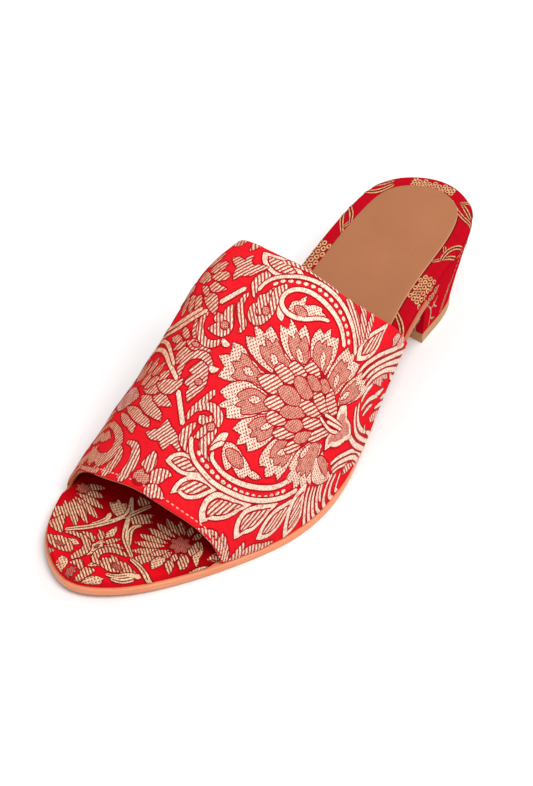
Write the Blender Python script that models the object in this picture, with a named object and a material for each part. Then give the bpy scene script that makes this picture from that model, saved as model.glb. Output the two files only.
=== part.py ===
"""Open-toe mule with a low block heel, for the left foot.

The toe points along -Y, the outer side of the foot is +X and the floor is z = 0.
Sizes below are in millimetres. "back" is a distance behind the toe tip.
"""

import bmesh
import bpy
import numpy as np

MM = 0.001
LENGTH = 245.0  # toe tip to heel back, about EU 38
GAP = 0.3  # clearance between pieces that touch
FOOTBED_CLEARANCE = 0.45  # and between the footbed's edge and the upper's lining

OUTSOLE_THICK = 3.5
FOOTBED_THICK = 4.2
SOCK_THICK = 0.7
WALL = 2.0  # cloth and lining of the upper
TOP_PIECE_THICK = 5.4

UPPER_SETBACK = 0.6  # outer face of the upper, inside the outsole's edge
FOOTBED_SETBACK = 1.2  # edge of the footbed in the open toe
FOOTBED_STEP = 4.0  # the footbed's edge draws in over this length, ahead of the upper
FOOTBED_STEP_AHEAD = 4.6  # where that starts, ahead of the upper's toe edge
HEEL_SETBACK = 0.7  # edge of the footbed over the heel
FOOTBED_RIM = 1.6  # radius of its rounded rims
OUTSOLE_RIM = 0.4
SOCK_MARGIN = 6.5  # brocade that shows beside the sock
SOCK_FRONT = 97.0
BREAST_BACK = 190.4  # front face of the heel block, at its top
BREAST_SLOPE = 2.8  # the breast runs back by this much on its way down
HEEL_BACK_TAPER = 14.0  # the heel's back comes forward by this much on its way down
HEEL_SIDE_TAPER = 0.09  # and its sides draw in by this share
HEEL_BOW = 0.2  # how far the taper runs ahead of a straight line halfway down

TOE_TIP_SIDE = -12.5  # how far the foremost and hindmost points lie to the side
HEEL_TIP_SIDE = 2.5

# The sole seen from above: half widths of the inner (medial) and outer (lateral) edge.
SOLE_PLAN = (
    # back, medial, lateral
    (6, -27.5, 1.5),
    (16, -36.7, 12.0),
    (32, -43.2, 23.6),
    (50, -46.3, 34.0),
    (72, -46.0, 43.6),
    (95, -40.6, 46.6),
    (118, -33.4, 43.6),
    (142, -28.4, 37.4),
    (166, -27.4, 31.8),
    (190, -27.9, 28.4),
    (212, -27.5, 27.5),
    (228, -24.4, 25.0),
    (239, -15.1, 18.4),
)

# Height of the outsole's upper face: toe spring, flat tread, waist and heel seat.
SOLE_RISE = (
    # back, height
    (0, 5.8),
    (22, 4.5),
    (46, 3.7),
    (66, 3.5),
    (86, 3.5),
    (102, 4.7),
    (120, 8.8),
    (142, 17.1),
    (166, 25.2),
    (190, 30.9),
    (212, 35.2),
    (230, 38.0),
    (245, 39.8),
)

# Cross-sections of the upper. "top" is the crown's height over the floor, "crown" its shift
# to the side as a share of the half width, and "fullness" the power of its arch, where 1 is
# an ellipse and less is squarer. The overhangs are how far the feather line passes the sole.
UPPER_SECTIONS = (
    # back, top, crown, fullness, lateral overhang, medial overhang
    (34, 30.7, 0.19, 1.05, 0.0, 0.0),
    (60, 45.0, 0.00, 0.96, 0.0, 0.0),
    (90, 60.9, -0.26, 0.83, 0.0, 0.6),
    (120, 76.6, -0.45, 0.67, 1.5, 2.2),
    (150, 85.4, -0.29, 0.59, 2.6, 3.2),
    (180, 97.3, -0.28, 0.55, 3.4, 3.4),
)

# Where the band's two edges cross its girth, from the medial feather line (0) over the
# crown to the lateral feather line (1).
UPPER_EDGES = (
    # girth, toe edge back, heel edge back
    (0.00, 36.5, 158.5),
    (0.17, 38.4, 147.6),
    (0.33, 36.3, 136.0),
    (0.50, 36.4, 134.4),
    (0.67, 37.1, 138.2),
    (0.83, 40.9, 153.2),
    (1.00, 43.9, 168.4),
)

SHARP_ANGLE = 35  # degrees between faces, past which an edge is shaded sharp
OUTLINE_POINTS = 9600
SECTION_POINTS = 361
FOOTBED_ROWS = 44
OUTSOLE_ROWS = 40
SOCK_ROWS = 26
HEEL_ROWS = 16
HEEL_STEPS = 6
RIM_STEPS = 3
UPPER_COLUMNS = 44
UPPER_ROWS = 22


def column(table, index):
    """One column of a table as an array."""
    return np.array([row[index] for row in table], float)


def smooth(xs, ys, x):
    """Monotone cubic through the knots: it keeps flats flat and never overshoots."""
    x = np.clip(x, xs[0], xs[-1])
    step = np.diff(xs)
    slope = np.diff(ys) / step
    tangent = np.zeros_like(ys)
    tangent[0], tangent[-1] = slope[0], slope[-1]
    for i in range(1, len(xs) - 1):
        if slope[i - 1] * slope[i] > 0:
            before = 2 * step[i] + step[i - 1]
            after = step[i] + 2 * step[i - 1]
            tangent[i] = (before + after) / (before / slope[i - 1] + after / slope[i])
    i = np.clip(np.searchsorted(xs, x, side="right") - 1, 0, len(step) - 1)
    t = (x - xs[i]) / step[i]
    return (
        (2 * t**3 - 3 * t**2 + 1) * ys[i]
        + (t**3 - 2 * t**2 + t) * step[i] * tangent[i]
        + (3 * t**2 - 2 * t**3) * ys[i + 1]
        + (t**3 - t**2) * step[i] * tangent[i + 1]
    )


def closed_spline(knots, count):
    """Closed cubic spline through the knots, as count points from the first knot on."""
    knots = np.array(knots, float)
    total = len(knots)
    step = np.linalg.norm(np.roll(knots, -1, 0) - knots, axis=1) ** 0.5
    start = np.concatenate([[0], np.cumsum(step)])
    matrix = np.zeros((total, total))
    right = np.zeros((total, 2))
    for i in range(total):
        before, after, follow = step[i - 1], step[i], (i + 1) % total
        matrix[i, i - 1] += before
        matrix[i, i] += 2 * (before + after)
        matrix[i, follow] += after
        right[i] = 6 * (
            (knots[follow] - knots[i]) / after - (knots[i] - knots[i - 1]) / before
        )
    bend = np.linalg.solve(matrix, right)
    t = np.linspace(0, start[-1], count, endpoint=False)
    i = np.clip(np.searchsorted(start, t, side="right") - 1, 0, total - 1)
    j = (i + 1) % total
    a, b, h = (start[i + 1] - t)[:, None], (t - start[i])[:, None], step[i][:, None]
    return (
        (bend[i] * a**3 + bend[j] * b**3) / (6 * h)
        + (knots[i] / h - bend[i] * h / 6) * a
        + (knots[j] / h - bend[j] * h / 6) * b
    )


def sole_outline():
    """The sole's edge as (x, back), from the toe tip round the lateral side, closely spaced."""
    knots = [(TOE_TIP_SIDE, 0)]
    knots += [(lateral, back) for back, _, lateral in SOLE_PLAN]
    knots += [(HEEL_TIP_SIDE, LENGTH)]
    knots += [(medial, back) for back, medial, _ in reversed(SOLE_PLAN)]
    outline = closed_spline(knots, OUTLINE_POINTS)
    return np.roll(outline, -np.argmin(outline[:, 1]), 0)


def inset(outline, distance):
    """The outline moved inwards by a distance, one number or one for each point."""
    along = np.roll(outline, -1, 0) - np.roll(outline, 1, 0)
    along /= np.linalg.norm(along, axis=1)[:, None]
    inwards = np.stack([-along[:, 1], along[:, 0]], 1)
    return outline + inwards * np.reshape(distance, (-1, 1))


OUTLINE = sole_outline()
HEEL_INDEX = np.argmax(OUTLINE[:, 1])
LATERAL = OUTLINE[: HEEL_INDEX + 1]
MEDIAL = np.vstack([OUTLINE[HEEL_INDEX:], OUTLINE[:1]])[::-1]


def lateral_edge(back):
    return np.interp(back, LATERAL[:, 1], LATERAL[:, 0])


def medial_edge(back):
    return np.interp(back, MEDIAL[:, 1], MEDIAL[:, 0])


def rise(back):
    """Height of the outsole's upper face."""
    return smooth(column(SOLE_RISE, 0), column(SOLE_RISE, 1), back)


def section_value(index, back):
    return smooth(column(UPPER_SECTIONS, 0), column(UPPER_SECTIONS, index), back)


MIDDLE_SIDE = (OUTLINE[:, 0].min() + OUTLINE[:, 0].max()) / 2
MIDDLE_BACK = (LENGTH - HEEL_SETBACK) / 2


def place(x, back, z):
    """Millimetres from the toe tip to metres round the shoe's middle, on the floor."""
    x, back, z = np.broadcast_arrays(x, back, z)
    return np.stack([x - MIDDLE_SIDE, back - MIDDLE_BACK, z], -1) * MM


def upper_section(back, inwards):
    """The arch at one distance back, from the medial to the lateral feather line.

    x = middle - a cos^fullness(t) + crown a sin^2(t) and z = base + h sin^fullness(t), for t
    from 0 to 180 degrees. inwards takes that much off the half width a and the height h.
    """
    t = np.linspace(0, np.pi, SECTION_POINTS)
    low = medial_edge(back) + UPPER_SETBACK - section_value(5, back)
    high = lateral_edge(back) - UPPER_SETBACK + section_value(4, back)
    base = rise(back) + GAP
    half, middle = (high - low) / 2 - inwards, (high + low) / 2
    height = section_value(1, back) - base - inwards
    power = section_value(3, back)
    x = middle - half * np.sign(np.cos(t)) * np.abs(np.cos(t)) ** power
    x = x + section_value(2, back) * half * np.sin(t) ** 2
    z = base + height * np.abs(np.sin(t)) ** power
    return x, z


def band_edge(girths, index):
    """One edge of the band over the girth, as a natural cubic through the table."""
    knots, values = column(UPPER_EDGES, 0), column(UPPER_EDGES, index)
    step = np.diff(knots)
    slope = np.diff(values) / step
    total = len(knots)
    matrix = np.eye(total)
    right = np.zeros(total)
    for i in range(1, total - 1):
        matrix[i, i - 1 : i + 2] = step[i - 1], 2 * (step[i - 1] + step[i]), step[i]
        right[i] = 6 * (slope[i] - slope[i - 1])
    bend = np.linalg.solve(matrix, right)
    i = np.clip(np.searchsorted(knots, girths, side="right") - 1, 0, total - 2)
    a, b = knots[i + 1] - girths, girths - knots[i]
    return (
        (bend[i] * a**3 + bend[i + 1] * b**3) / (6 * step[i])
        + (values[i] / step[i] - bend[i] * step[i] / 6) * a
        + (values[i + 1] / step[i] - bend[i + 1] * step[i] / 6) * b
    )


def upper_skin(inwards):
    """Grid of points over the band, rows from toe edge to heel edge, columns over the girth."""
    girths = np.linspace(0, 1, UPPER_COLUMNS + 1)
    fractions = np.linspace(0, 1, UPPER_ROWS + 1)
    toe = band_edge(girths, 1)
    heel = band_edge(girths, 2)
    skin = np.zeros((UPPER_ROWS + 1, UPPER_COLUMNS + 1, 3))
    for column_index, girth in enumerate(girths):
        for row_index, fraction in enumerate(fractions):
            back = toe[column_index] + fraction * (heel[column_index] - toe[column_index])
            x, z = upper_section(back, inwards)
            run = np.concatenate([[0], np.cumsum(np.hypot(np.diff(x), np.diff(z)))])
            at = girth * run[-1]
            skin[row_index, column_index] = place(
                np.interp(at, run, x), back, np.interp(at, run, z)
            )
    return skin


def pairs(rows, start, end, steps=()):
    """Indices into OUTLINE of points that face each other across the sole, front to back.

    They lie closer together towards both ends, where the outline turns. steps are further
    distances back that get a pair.
    """
    backs = start + (end - start) * (1 - np.cos(np.pi * np.arange(rows + 1) / rows)) / 2
    backs = np.unique(np.concatenate([backs, steps]))
    lateral = np.searchsorted(LATERAL[:-1, 1], backs)
    medial = len(OUTLINE) - np.searchsorted(MEDIAL[:-1, 1], backs)
    return medial % len(OUTLINE), lateral


def edge_layer(outline, paired, height):
    """One layer of a body: both rows of points at the height of each point's place."""
    return [place(outline[i, 0], outline[i, 1], height(outline[i, 1])) for i in paired]


def plate_layers(distance, paired, lower, upper, radius):
    """A plate between two heights, inside the outline by a distance, with rounded rims."""
    turns = np.linspace(0, np.pi / 2, RIM_STEPS + 1)
    layers = []
    for turn in turns[::-1]:
        outline = inset(OUTLINE, distance + radius * (1 - np.cos(turn)))
        drop = radius * (1 - np.sin(turn))
        layers.append(edge_layer(outline, paired, lambda back, drop=drop: lower(back) + drop))
    for turn in turns:
        outline = inset(OUTLINE, distance + radius * (1 - np.cos(turn)))
        drop = radius * (1 - np.sin(turn))
        layers.append(edge_layer(outline, paired, lambda back, drop=drop: upper(back) - drop))
    return layers


def slab_mesh(layers):
    """A closed body from layers of paired edge points, lowest layer first.

    Each layer is (medial points, lateral points), as arrays of metres from front to back. A
    pair that has met at a tip becomes one point.
    """
    work = bmesh.new()
    loops = []
    for medial, lateral in layers:
        up = [work.verts.new(point) for point in lateral]
        down = [work.verts.new(point) for point in medial]
        loops.append((down, up))
    for (down, up), (next_down, next_up) in zip(loops, loops[1:]):
        around = up + down[::-1]
        next_around = next_up + next_down[::-1]
        for i, vertex in enumerate(around):
            follow = (i + 1) % len(around)
            work.faces.new((vertex, around[follow], next_around[follow], next_around[i]))
    bottom_down, bottom_up = loops[0]
    top_down, top_up = loops[-1]
    for i in range(len(top_up) - 1):
        work.faces.new((top_down[i], top_up[i], top_up[i + 1], top_down[i + 1]))
        work.faces.new((bottom_up[i], bottom_down[i], bottom_down[i + 1], bottom_up[i + 1]))
    return finish_mesh(work)


def finish_mesh(work):
    """Merges points that coincide, turns every face outwards and frees the bmesh."""
    bmesh.ops.remove_doubles(work, verts=work.verts, dist=1e-6)
    bmesh.ops.recalc_face_normals(work, faces=work.faces)
    mesh = bpy.data.meshes.new("mesh")
    work.to_mesh(mesh)
    work.free()
    return mesh


def add_object(name, mesh, material):
    mesh.name = name
    mesh.materials.append(material)
    mesh.shade_smooth()
    mesh.set_sharp_from_angle(angle=np.radians(SHARP_ANGLE))
    piece = bpy.data.objects.new(name, mesh)
    bpy.context.scene.collection.objects.link(piece)


def add_material(name, colour, roughness, sheen=0.0):
    material = bpy.data.materials.new(name)
    material.use_nodes = True
    shader = material.node_tree.nodes["Principled BSDF"]
    shader.inputs["Base Color"].default_value = (*colour, 1)
    shader.inputs["Roughness"].default_value = roughness
    shader.inputs["Metallic"].default_value = 0.0
    shader.inputs["Sheen Weight"].default_value = sheen
    return material


def add_outsole(material):
    paired = pairs(OUTSOLE_ROWS, 0, BREAST_BACK - GAP)
    layers = plate_layers(0, paired, lambda back: rise(back) - OUTSOLE_THICK, rise, OUTSOLE_RIM)
    add_object("outsole", slab_mesh(layers), material)


def footbed_setback():
    """How far the footbed's edge lies inside OUTLINE, point by point.

    It is near the sole's edge at toe and heel, and inside the upper's wall between.
    """
    back = OUTLINE[:, 1]
    lateral = np.arange(len(OUTLINE)) < HEEL_INDEX
    overhang = np.where(lateral, section_value(4, back), section_value(5, back))
    inside_wall = np.maximum(UPPER_SETBACK + WALL + FOOTBED_CLEARANCE - overhang, HEEL_SETBACK)
    toe_edge = np.where(lateral, UPPER_EDGES[-1][1], UPPER_EDGES[0][1])
    heel_edge = np.where(lateral, UPPER_EDGES[-1][2], UPPER_EDGES[0][2])
    under_toe = np.clip((back - toe_edge + FOOTBED_STEP_AHEAD) / FOOTBED_STEP, 0, 1)
    under_heel = np.clip((back - heel_edge - FOOTBED_STEP) / FOOTBED_STEP, 0, 1)
    distance = FOOTBED_SETBACK + (inside_wall - FOOTBED_SETBACK) * under_toe
    return distance + (HEEL_SETBACK - distance) * under_heel


def footbed_top(back):
    return rise(back) + GAP + FOOTBED_THICK


def add_footbed(material):
    starts = [UPPER_EDGES[end][1] - FOOTBED_STEP_AHEAD for end in (0, -1)]
    steps = [start + share * FOOTBED_STEP for start in starts for share in (0, 0.5, 1)]
    layers = plate_layers(
        footbed_setback(),
        pairs(FOOTBED_ROWS, 0, LENGTH, steps),
        lambda back: rise(back) + GAP,
        footbed_top,
        FOOTBED_RIM,
    )
    add_object("footbed", slab_mesh(layers), material)


def add_sock(material):
    layers = [
        edge_layer(
            inset(OUTLINE, HEEL_SETBACK + SOCK_MARGIN),
            pairs(SOCK_ROWS, SOCK_FRONT, LENGTH),
            lambda back, lift=lift: footbed_top(back) + GAP + lift,
        )
        for lift in (0, SOCK_THICK)
    ]
    add_object("sock", slab_mesh(layers), material)


def add_upper(material):
    """The band: an outer and an inner skin joined by its toe, heel and feather edges."""
    outer, inner = upper_skin(0), upper_skin(WALL)
    work = bmesh.new()
    shells = [
        [[work.verts.new(point) for point in row] for row in skin] for skin in (outer, inner)
    ]
    for shell in shells:
        for row, next_row in zip(shell, shell[1:]):
            for i in range(UPPER_COLUMNS):
                work.faces.new((row[i], row[i + 1], next_row[i + 1], next_row[i]))
    borders = []
    for shell in shells:
        medial = [row[0] for row in shell]
        lateral = [row[-1] for row in shell]
        borders.append(shell[0] + lateral[1:] + shell[-1][::-1][1:] + medial[::-1][1:-1])
    for i in range(len(borders[0])):
        follow = (i + 1) % len(borders[0])
        work.faces.new((borders[0][i], borders[0][follow], borders[1][follow], borders[1][i]))
    add_object("upper", finish_mesh(work), material)


def heel_layer(depth):
    """One layer of the heel, from the seat at depth 0 to the top piece at depth 1.

    The breast runs back, the heel's back comes forward and its sides draw in on the way down.
    """
    eased = depth + HEEL_BOW * depth * (1 - depth)
    front = BREAST_BACK + BREAST_SLOPE * eased
    end = LENGTH - HEEL_SETBACK - HEEL_BACK_TAPER * eased
    seat = inset(OUTLINE, HEEL_SETBACK)
    layer = []
    for index in pairs(HEEL_ROWS, BREAST_BACK, LENGTH):
        share = (seat[index, 1] - BREAST_BACK) / (LENGTH - HEEL_SETBACK - BREAST_BACK)
        x = seat[index, 0] * (1 - HEEL_SIDE_TAPER * eased)
        height = rise(seat[index, 1]) * (1 - depth) + (TOP_PIECE_THICK + GAP) * depth
        layer.append(place(x, front + share * (end - front), height))
    return layer


def add_heel_block(material):
    depths = np.linspace(1, 0, HEEL_STEPS + 1)
    add_object("heel_block", slab_mesh([heel_layer(depth) for depth in depths]), material)


def add_top_piece(material):
    foot = heel_layer(1)
    layers = [
        [row * (1, 1, 0) + (0, 0, height * MM) for row in foot] for height in (0, TOP_PIECE_THICK)
    ]
    add_object("top_piece", slab_mesh(layers), material)


def main():
    for old in list(bpy.data.objects):
        bpy.data.objects.remove(old, do_unlink=True)
    brocade = add_material("red brocade", (0.78, 0.03, 0.05), 0.45, sheen=0.3)
    heel_cloth = add_material("heel brocade", (0.62, 0.02, 0.04), 0.5, sheen=0.3)
    footbed_cloth = add_material("footbed brocade", (0.6, 0.02, 0.03), 0.5, sheen=0.3)
    sock_leather = add_material("sock leather", (0.5, 0.23, 0.09), 0.6)
    sole_leather = add_material("sole leather", (0.78, 0.3, 0.13), 0.5)
    lift = add_material("lift", (0.45, 0.23, 0.09), 0.55)
    add_outsole(sole_leather)
    add_footbed(footbed_cloth)
    add_sock(sock_leather)
    add_upper(brocade)
    add_heel_block(heel_cloth)
    add_top_piece(lift)


main()
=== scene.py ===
# A left mule with a block heel, in red and gold brocade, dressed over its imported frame.
# Lengths are in millimetres until place() turns them into metres. "back" is a distance
# behind the toe tip, and "across" is measured over the band from its crown, outwards.

import bmesh
import bpy
import numpy as np
from mathutils import Matrix, Vector


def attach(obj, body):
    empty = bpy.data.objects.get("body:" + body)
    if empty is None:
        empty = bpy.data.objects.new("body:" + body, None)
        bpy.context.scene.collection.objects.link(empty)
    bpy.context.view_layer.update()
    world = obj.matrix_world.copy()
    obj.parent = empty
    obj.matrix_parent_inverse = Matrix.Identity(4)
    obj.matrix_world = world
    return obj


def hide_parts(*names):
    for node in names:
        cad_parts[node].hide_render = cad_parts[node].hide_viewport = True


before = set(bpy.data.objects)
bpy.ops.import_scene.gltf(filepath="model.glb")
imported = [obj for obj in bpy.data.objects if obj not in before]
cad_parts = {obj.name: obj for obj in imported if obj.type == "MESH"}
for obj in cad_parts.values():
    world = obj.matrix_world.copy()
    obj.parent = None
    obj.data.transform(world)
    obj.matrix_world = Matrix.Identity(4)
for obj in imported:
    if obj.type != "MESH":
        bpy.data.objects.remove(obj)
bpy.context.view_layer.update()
print("frame loaded")

# The shoe's own sizes, from which the frame was built.
shoe = {
    "length": 245.0,
    "gap": 0.3,
    "outsoleThick": 3.5,
    "footbedThick": 4.2,
    "sockThick": 0.7,
    "wall": 2.0,
    "liftThick": 5.4,
    "upperSetback": 0.6,
    "footbedSetback": 1.2,
    "footbedClearance": 0.45,
    "footbedStep": 4.0,
    "footbedStepAhead": 4.6,
    "heelSetback": 0.7,
    "sockMargin": 6.5,
    "sockFront": 97.0,
    "breastBack": 190.4,
    "breastSlope": 2.8,
    "heelBackTaper": 14.0,
    "heelSideTaper": 0.09,
    "heelBow": 0.2,
    "toeTipSide": -12.5,
    "heelTipSide": 2.5,
}

solePlan = (
    # back, medial, lateral
    (6, -27.5, 1.5),
    (16, -36.7, 12.0),
    (32, -43.2, 23.6),
    (50, -46.3, 34.0),
    (72, -46.0, 43.6),
    (95, -40.6, 46.6),
    (118, -33.4, 43.6),
    (142, -28.4, 37.4),
    (166, -27.4, 31.8),
    (190, -27.9, 28.4),
    (212, -27.5, 27.5),
    (228, -24.4, 25.0),
    (239, -15.1, 18.4),
)

soleRise = (
    # back, height of the outsole's upper face
    (0, 5.8),
    (22, 4.5),
    (46, 3.7),
    (66, 3.5),
    (86, 3.5),
    (102, 4.7),
    (120, 8.8),
    (142, 17.1),
    (166, 25.2),
    (190, 30.9),
    (212, 35.2),
    (230, 38.0),
    (245, 39.8),
)

bandSections = (
    # back, top, crown, fullness, lateral overhang, medial overhang
    (34, 30.7, 0.19, 1.05, 0.0, 0.0),
    (60, 45.0, 0.00, 0.96, 0.0, 0.0),
    (90, 60.9, -0.26, 0.83, 0.0, 0.6),
    (120, 76.6, -0.45, 0.67, 1.5, 2.2),
    (150, 85.4, -0.29, 0.59, 2.6, 3.2),
    (180, 97.3, -0.28, 0.55, 3.4, 3.4),
)

bandEdges = (
    # girth share, toe edge back, heel edge back
    (0.00, 36.5, 158.5),
    (0.17, 38.4, 147.6),
    (0.33, 36.3, 136.0),
    (0.50, 36.4, 134.4),
    (0.67, 37.1, 138.2),
    (0.83, 40.9, 153.2),
    (1.00, 43.9, 168.4),
)


def column(table, index):
    return np.array([row[index] for row in table], float)


# Cubic between knots whose slopes are harmonic means, so flats stay flat.
def monotone(table, index, at):
    knots, values = column(table, 0), column(table, index)
    at = np.clip(at, knots[0], knots[-1])
    step, slope = np.diff(knots), np.diff(values) / np.diff(knots)
    before = 2 * step[1:] + step[:-1]
    after = step[1:] + 2 * step[:-1]
    turns = slope[:-1] * slope[1:] > 0
    safe = np.where(turns, slope[:-1], 1.0), np.where(turns, slope[1:], 1.0)
    inner = np.where(turns, (before + after) / (before / safe[0] + after / safe[1]), 0)
    tangent = np.concatenate([slope[:1], inner, slope[-1:]])
    i = np.clip(np.searchsorted(knots, at, side="right") - 1, 0, len(step) - 1)
    t = (at - knots[i]) / step[i]
    return (
        (2 * t**3 - 3 * t**2 + 1) * values[i]
        + (t**3 - 2 * t**2 + t) * step[i] * tangent[i]
        + (3 * t**2 - 2 * t**3) * values[i + 1]
        + (t**3 - t**2) * step[i] * tangent[i + 1]
    )


# The cubic between knots i and j, h apart, at a before j and b past i, from the values and
# second derivatives at the knots.
def cubicBetween(values, bend, i, j, a, b, h):
    return (
        (bend[i] * a**3 + bend[j] * b**3) / (6 * h)
        + (values[i] / h - bend[i] * h / 6) * a
        + (values[j] / h - bend[j] * h / 6) * b
    )


# Natural cubic spline: the second derivative is zero at both ends. values may hold points.
def naturalCubic(knots, values, at):
    knots, values = np.asarray(knots, float), np.asarray(values, float)
    step, total = np.diff(knots), len(knots)
    wide = step.reshape((-1,) + (1,) * (values.ndim - 1))
    slope = np.diff(values, axis=0) / wide
    matrix, right = np.eye(total), np.zeros_like(values)
    inner = np.arange(1, total - 1)
    matrix[inner, inner - 1] = step[:-1]
    matrix[inner, inner] = 2 * (step[:-1] + step[1:])
    matrix[inner, inner + 1] = step[1:]
    right[1:-1] = 6 * np.diff(slope, axis=0)
    bend = np.linalg.solve(matrix, right)
    i = np.clip(np.searchsorted(knots, at, side="right") - 1, 0, total - 2)
    a, b, h = knots[i + 1] - at, at - knots[i], step[i]
    if values.ndim > 1:
        a, b, h = a[..., None], b[..., None], h[..., None]
    return cubicBetween(values, bend, i, i + 1, a, b, h)


# Distance run along a line of points, from 0 at the first.
def runAlong(points):
    return np.concatenate([[0], np.cumsum(np.linalg.norm(np.diff(points, axis=0), axis=1))])


# A smooth line through given points, read at count even shares of its chords.
def lineThrough(points, count):
    points = np.asarray(points, float)
    run = runAlong(points)
    return naturalCubic(run, points, np.linspace(0, run[-1], count))


# Closed cubic spline through the knots, with the square root of each chord as its step.
def closedLine(knots, count):
    knots = np.array(knots, float)
    total = len(knots)
    follow = (np.arange(total) + 1) % total
    step = np.linalg.norm(knots[follow] - knots, axis=1) ** 0.5
    start = np.concatenate([[0], np.cumsum(step)])
    slope = (knots[follow] - knots) / step[:, None]
    matrix = np.diag(2 * (np.roll(step, 1) + step))
    matrix[np.arange(total), follow] += step
    matrix[np.arange(total), np.arange(total) - 1] += np.roll(step, 1)
    bend = np.linalg.solve(matrix, 6 * (slope - np.roll(slope, 1, 0)))
    t = np.linspace(0, start[-1], count, endpoint=False)
    i = np.clip(np.searchsorted(start, t, side="right") - 1, 0, total - 1)
    a, b, h = (start[i + 1] - t)[:, None], (t - start[i])[:, None], step[i][:, None]
    return cubicBetween(knots, bend, i, follow[i], a, b, h)


# Vectors of length 1; least keeps a vector of no length from being divided by 0.
def unit(vectors, least=0.0):
    return vectors / (np.linalg.norm(vectors, axis=-1)[..., None] + least)


# Flat vectors turned a quarter to the left.
def quarterTurn(vectors):
    return np.stack([-vectors[..., 1], vectors[..., 0]], -1)


# The sole's plan as one closed line that starts at the toe tip and runs up the outer side.
def soleOutline(count=9600):
    knots = [(shoe["toeTipSide"], 0)]
    knots += [(lateral, back) for back, _, lateral in solePlan]
    knots += [(shoe["heelTipSide"], shoe["length"])]
    knots += [(medial, back) for back, medial, _ in reversed(solePlan)]
    line = closedLine(knots, count)
    return np.roll(line, -np.argmin(line[:, 1]), 0)


outline = soleOutline()
heelIndex = int(np.argmax(outline[:, 1]))
lateralLine = outline[: heelIndex + 1]
medialLine = np.vstack([outline[heelIndex:], outline[:1]])[::-1]
middleSide = (outline[:, 0].min() + outline[:, 0].max()) / 2
middleBack = (shoe["length"] - shoe["heelSetback"]) / 2
outlineInwards = quarterTurn(unit(np.roll(outline, -1, 0) - np.roll(outline, 1, 0)))


def inset(distance):
    return outline + outlineInwards * np.reshape(distance, (-1, 1))


def riseAt(back):
    return monotone(soleRise, 1, back)


def footbedTop(back):
    return riseAt(back) + shoe["gap"] + shoe["footbedThick"]


def place(x, back, z):
    x, back, z = np.broadcast_arrays(x, back, z)
    return np.stack([x - middleSide, back - middleBack, z], -1) * 0.001


def placeAll(spots):
    return place(*np.moveaxis(spots, -1, 0))


band = {
    "rimRadius": 1.0,  # half the wall, round which the cloth turns
    "stitchInset": 2.7,
    "stitchTrough": 0.28,
    "troughWidth": 0.7,
    "puff": 0.16,  # soft unevenness of the lasted cloth
    "heldEdge": 1.5,  # from each rim, where creases begin
    "heldLining": 4.0,
    "liningShare": 0.4,  # how much of a crease shows on the lining
    "archPoints": 721,
    "girthCells": 300,
    "backCells": 150,
    "rimCells": 13,
}

creases = (
    # across, back, to across, to back, width, depth: soft troughs, and ridges where negative
    (-46, 44, -20, 41, 5.0, 0.25),
    (-60, 72, -34, 60, 6.0, -0.30),
    (30, 47, 58, 56, 5.0, 0.22),
    (52, 52, 66, 70, 5.0, -0.25),
    (66, 118, 84, 128, 6.0, 0.30),
    (58, 138, 80, 152, 6.0, -0.25),
    (-66, 120, -40, 112, 7.0, 0.35),
    (-70, 138, -44, 128, 6.0, -0.25),
)

# The band's skin is kept as a table: rows half a millimetre apart, shares of the girth.
girthSteps, backStep, backStart, backEnd = 320, 0.5, 33.0, 172.0
tableBacks = np.arange(backStart, backEnd + backStep, backStep)


# The arch at one distance back, from the inner to the outer feather line:
# x = middle - half cos^fullness + crown half sin^2 and z = base + height sin^fullness,
# with its last millimetre turned in under the foot as a quarter circle.
def archAt(back):
    t = np.linspace(0, np.pi, band["archPoints"])
    low = np.interp(back, medialLine[:, 1], medialLine[:, 0])
    low += shoe["upperSetback"] - monotone(bandSections, 5, back)
    high = np.interp(back, lateralLine[:, 1], lateralLine[:, 0])
    high += monotone(bandSections, 4, back) - shoe["upperSetback"]
    base = riseAt(back) + shoe["gap"]
    half, middle = (high - low) / 2, (high + low) / 2
    height = monotone(bandSections, 1, back) - base
    power = monotone(bandSections, 3, back)
    x = middle - half * np.sign(np.cos(t)) * np.abs(np.cos(t)) ** power
    x = x + monotone(bandSections, 2, back) * half * np.sin(t) ** 2
    z = base + height * np.abs(np.sin(t)) ** power
    radius = band["rimRadius"]
    above = np.clip(radius - (z - base), 0, radius)
    turned = radius - np.sqrt(radius**2 - above**2)
    x = x + turned * np.sign(np.cos(t))
    run = np.concatenate([[0], np.cumsum(np.hypot(np.diff(x), np.diff(z)))])
    at = np.linspace(0, run[-1], girthSteps + 1)
    spots = np.stack([np.interp(at, run, x), np.full_like(at, back), np.interp(at, run, z)], 1)
    return spots, run[-1]


arches = [archAt(back) for back in tableBacks]
skinTable = np.array([arch[0] for arch in arches])
girthTable = np.array([arch[1] for arch in arches])
spanBack = np.gradient(skinTable, axis=0)
normalTable = unit(np.cross(np.gradient(skinTable, axis=1), spanBack))


def girthAt(back):
    return np.interp(back, tableBacks, girthTable)


def toeEdge(girth):
    return naturalCubic(column(bandEdges, 0), column(bandEdges, 1), np.clip(girth, 0, 1))


def heelEdge(girth):
    return naturalCubic(column(bandEdges, 0), column(bandEdges, 2), np.clip(girth, 0, 1))


# Bilinear reading of a table of vectors at fractional rows and columns.
def readTable(table, row, col):
    row = np.clip(row, 0, table.shape[0] - 1.0001)
    col = np.clip(col, 0, table.shape[1] - 1.0001)
    i, j = row.astype(int), col.astype(int)
    u, v = (row - i)[..., None], (col - j)[..., None]
    return (
        table[i, j] * (1 - u) * (1 - v)
        + table[i + 1, j] * u * (1 - v)
        + table[i, j + 1] * (1 - u) * v
        + table[i + 1, j + 1] * u * v
    )


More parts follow.
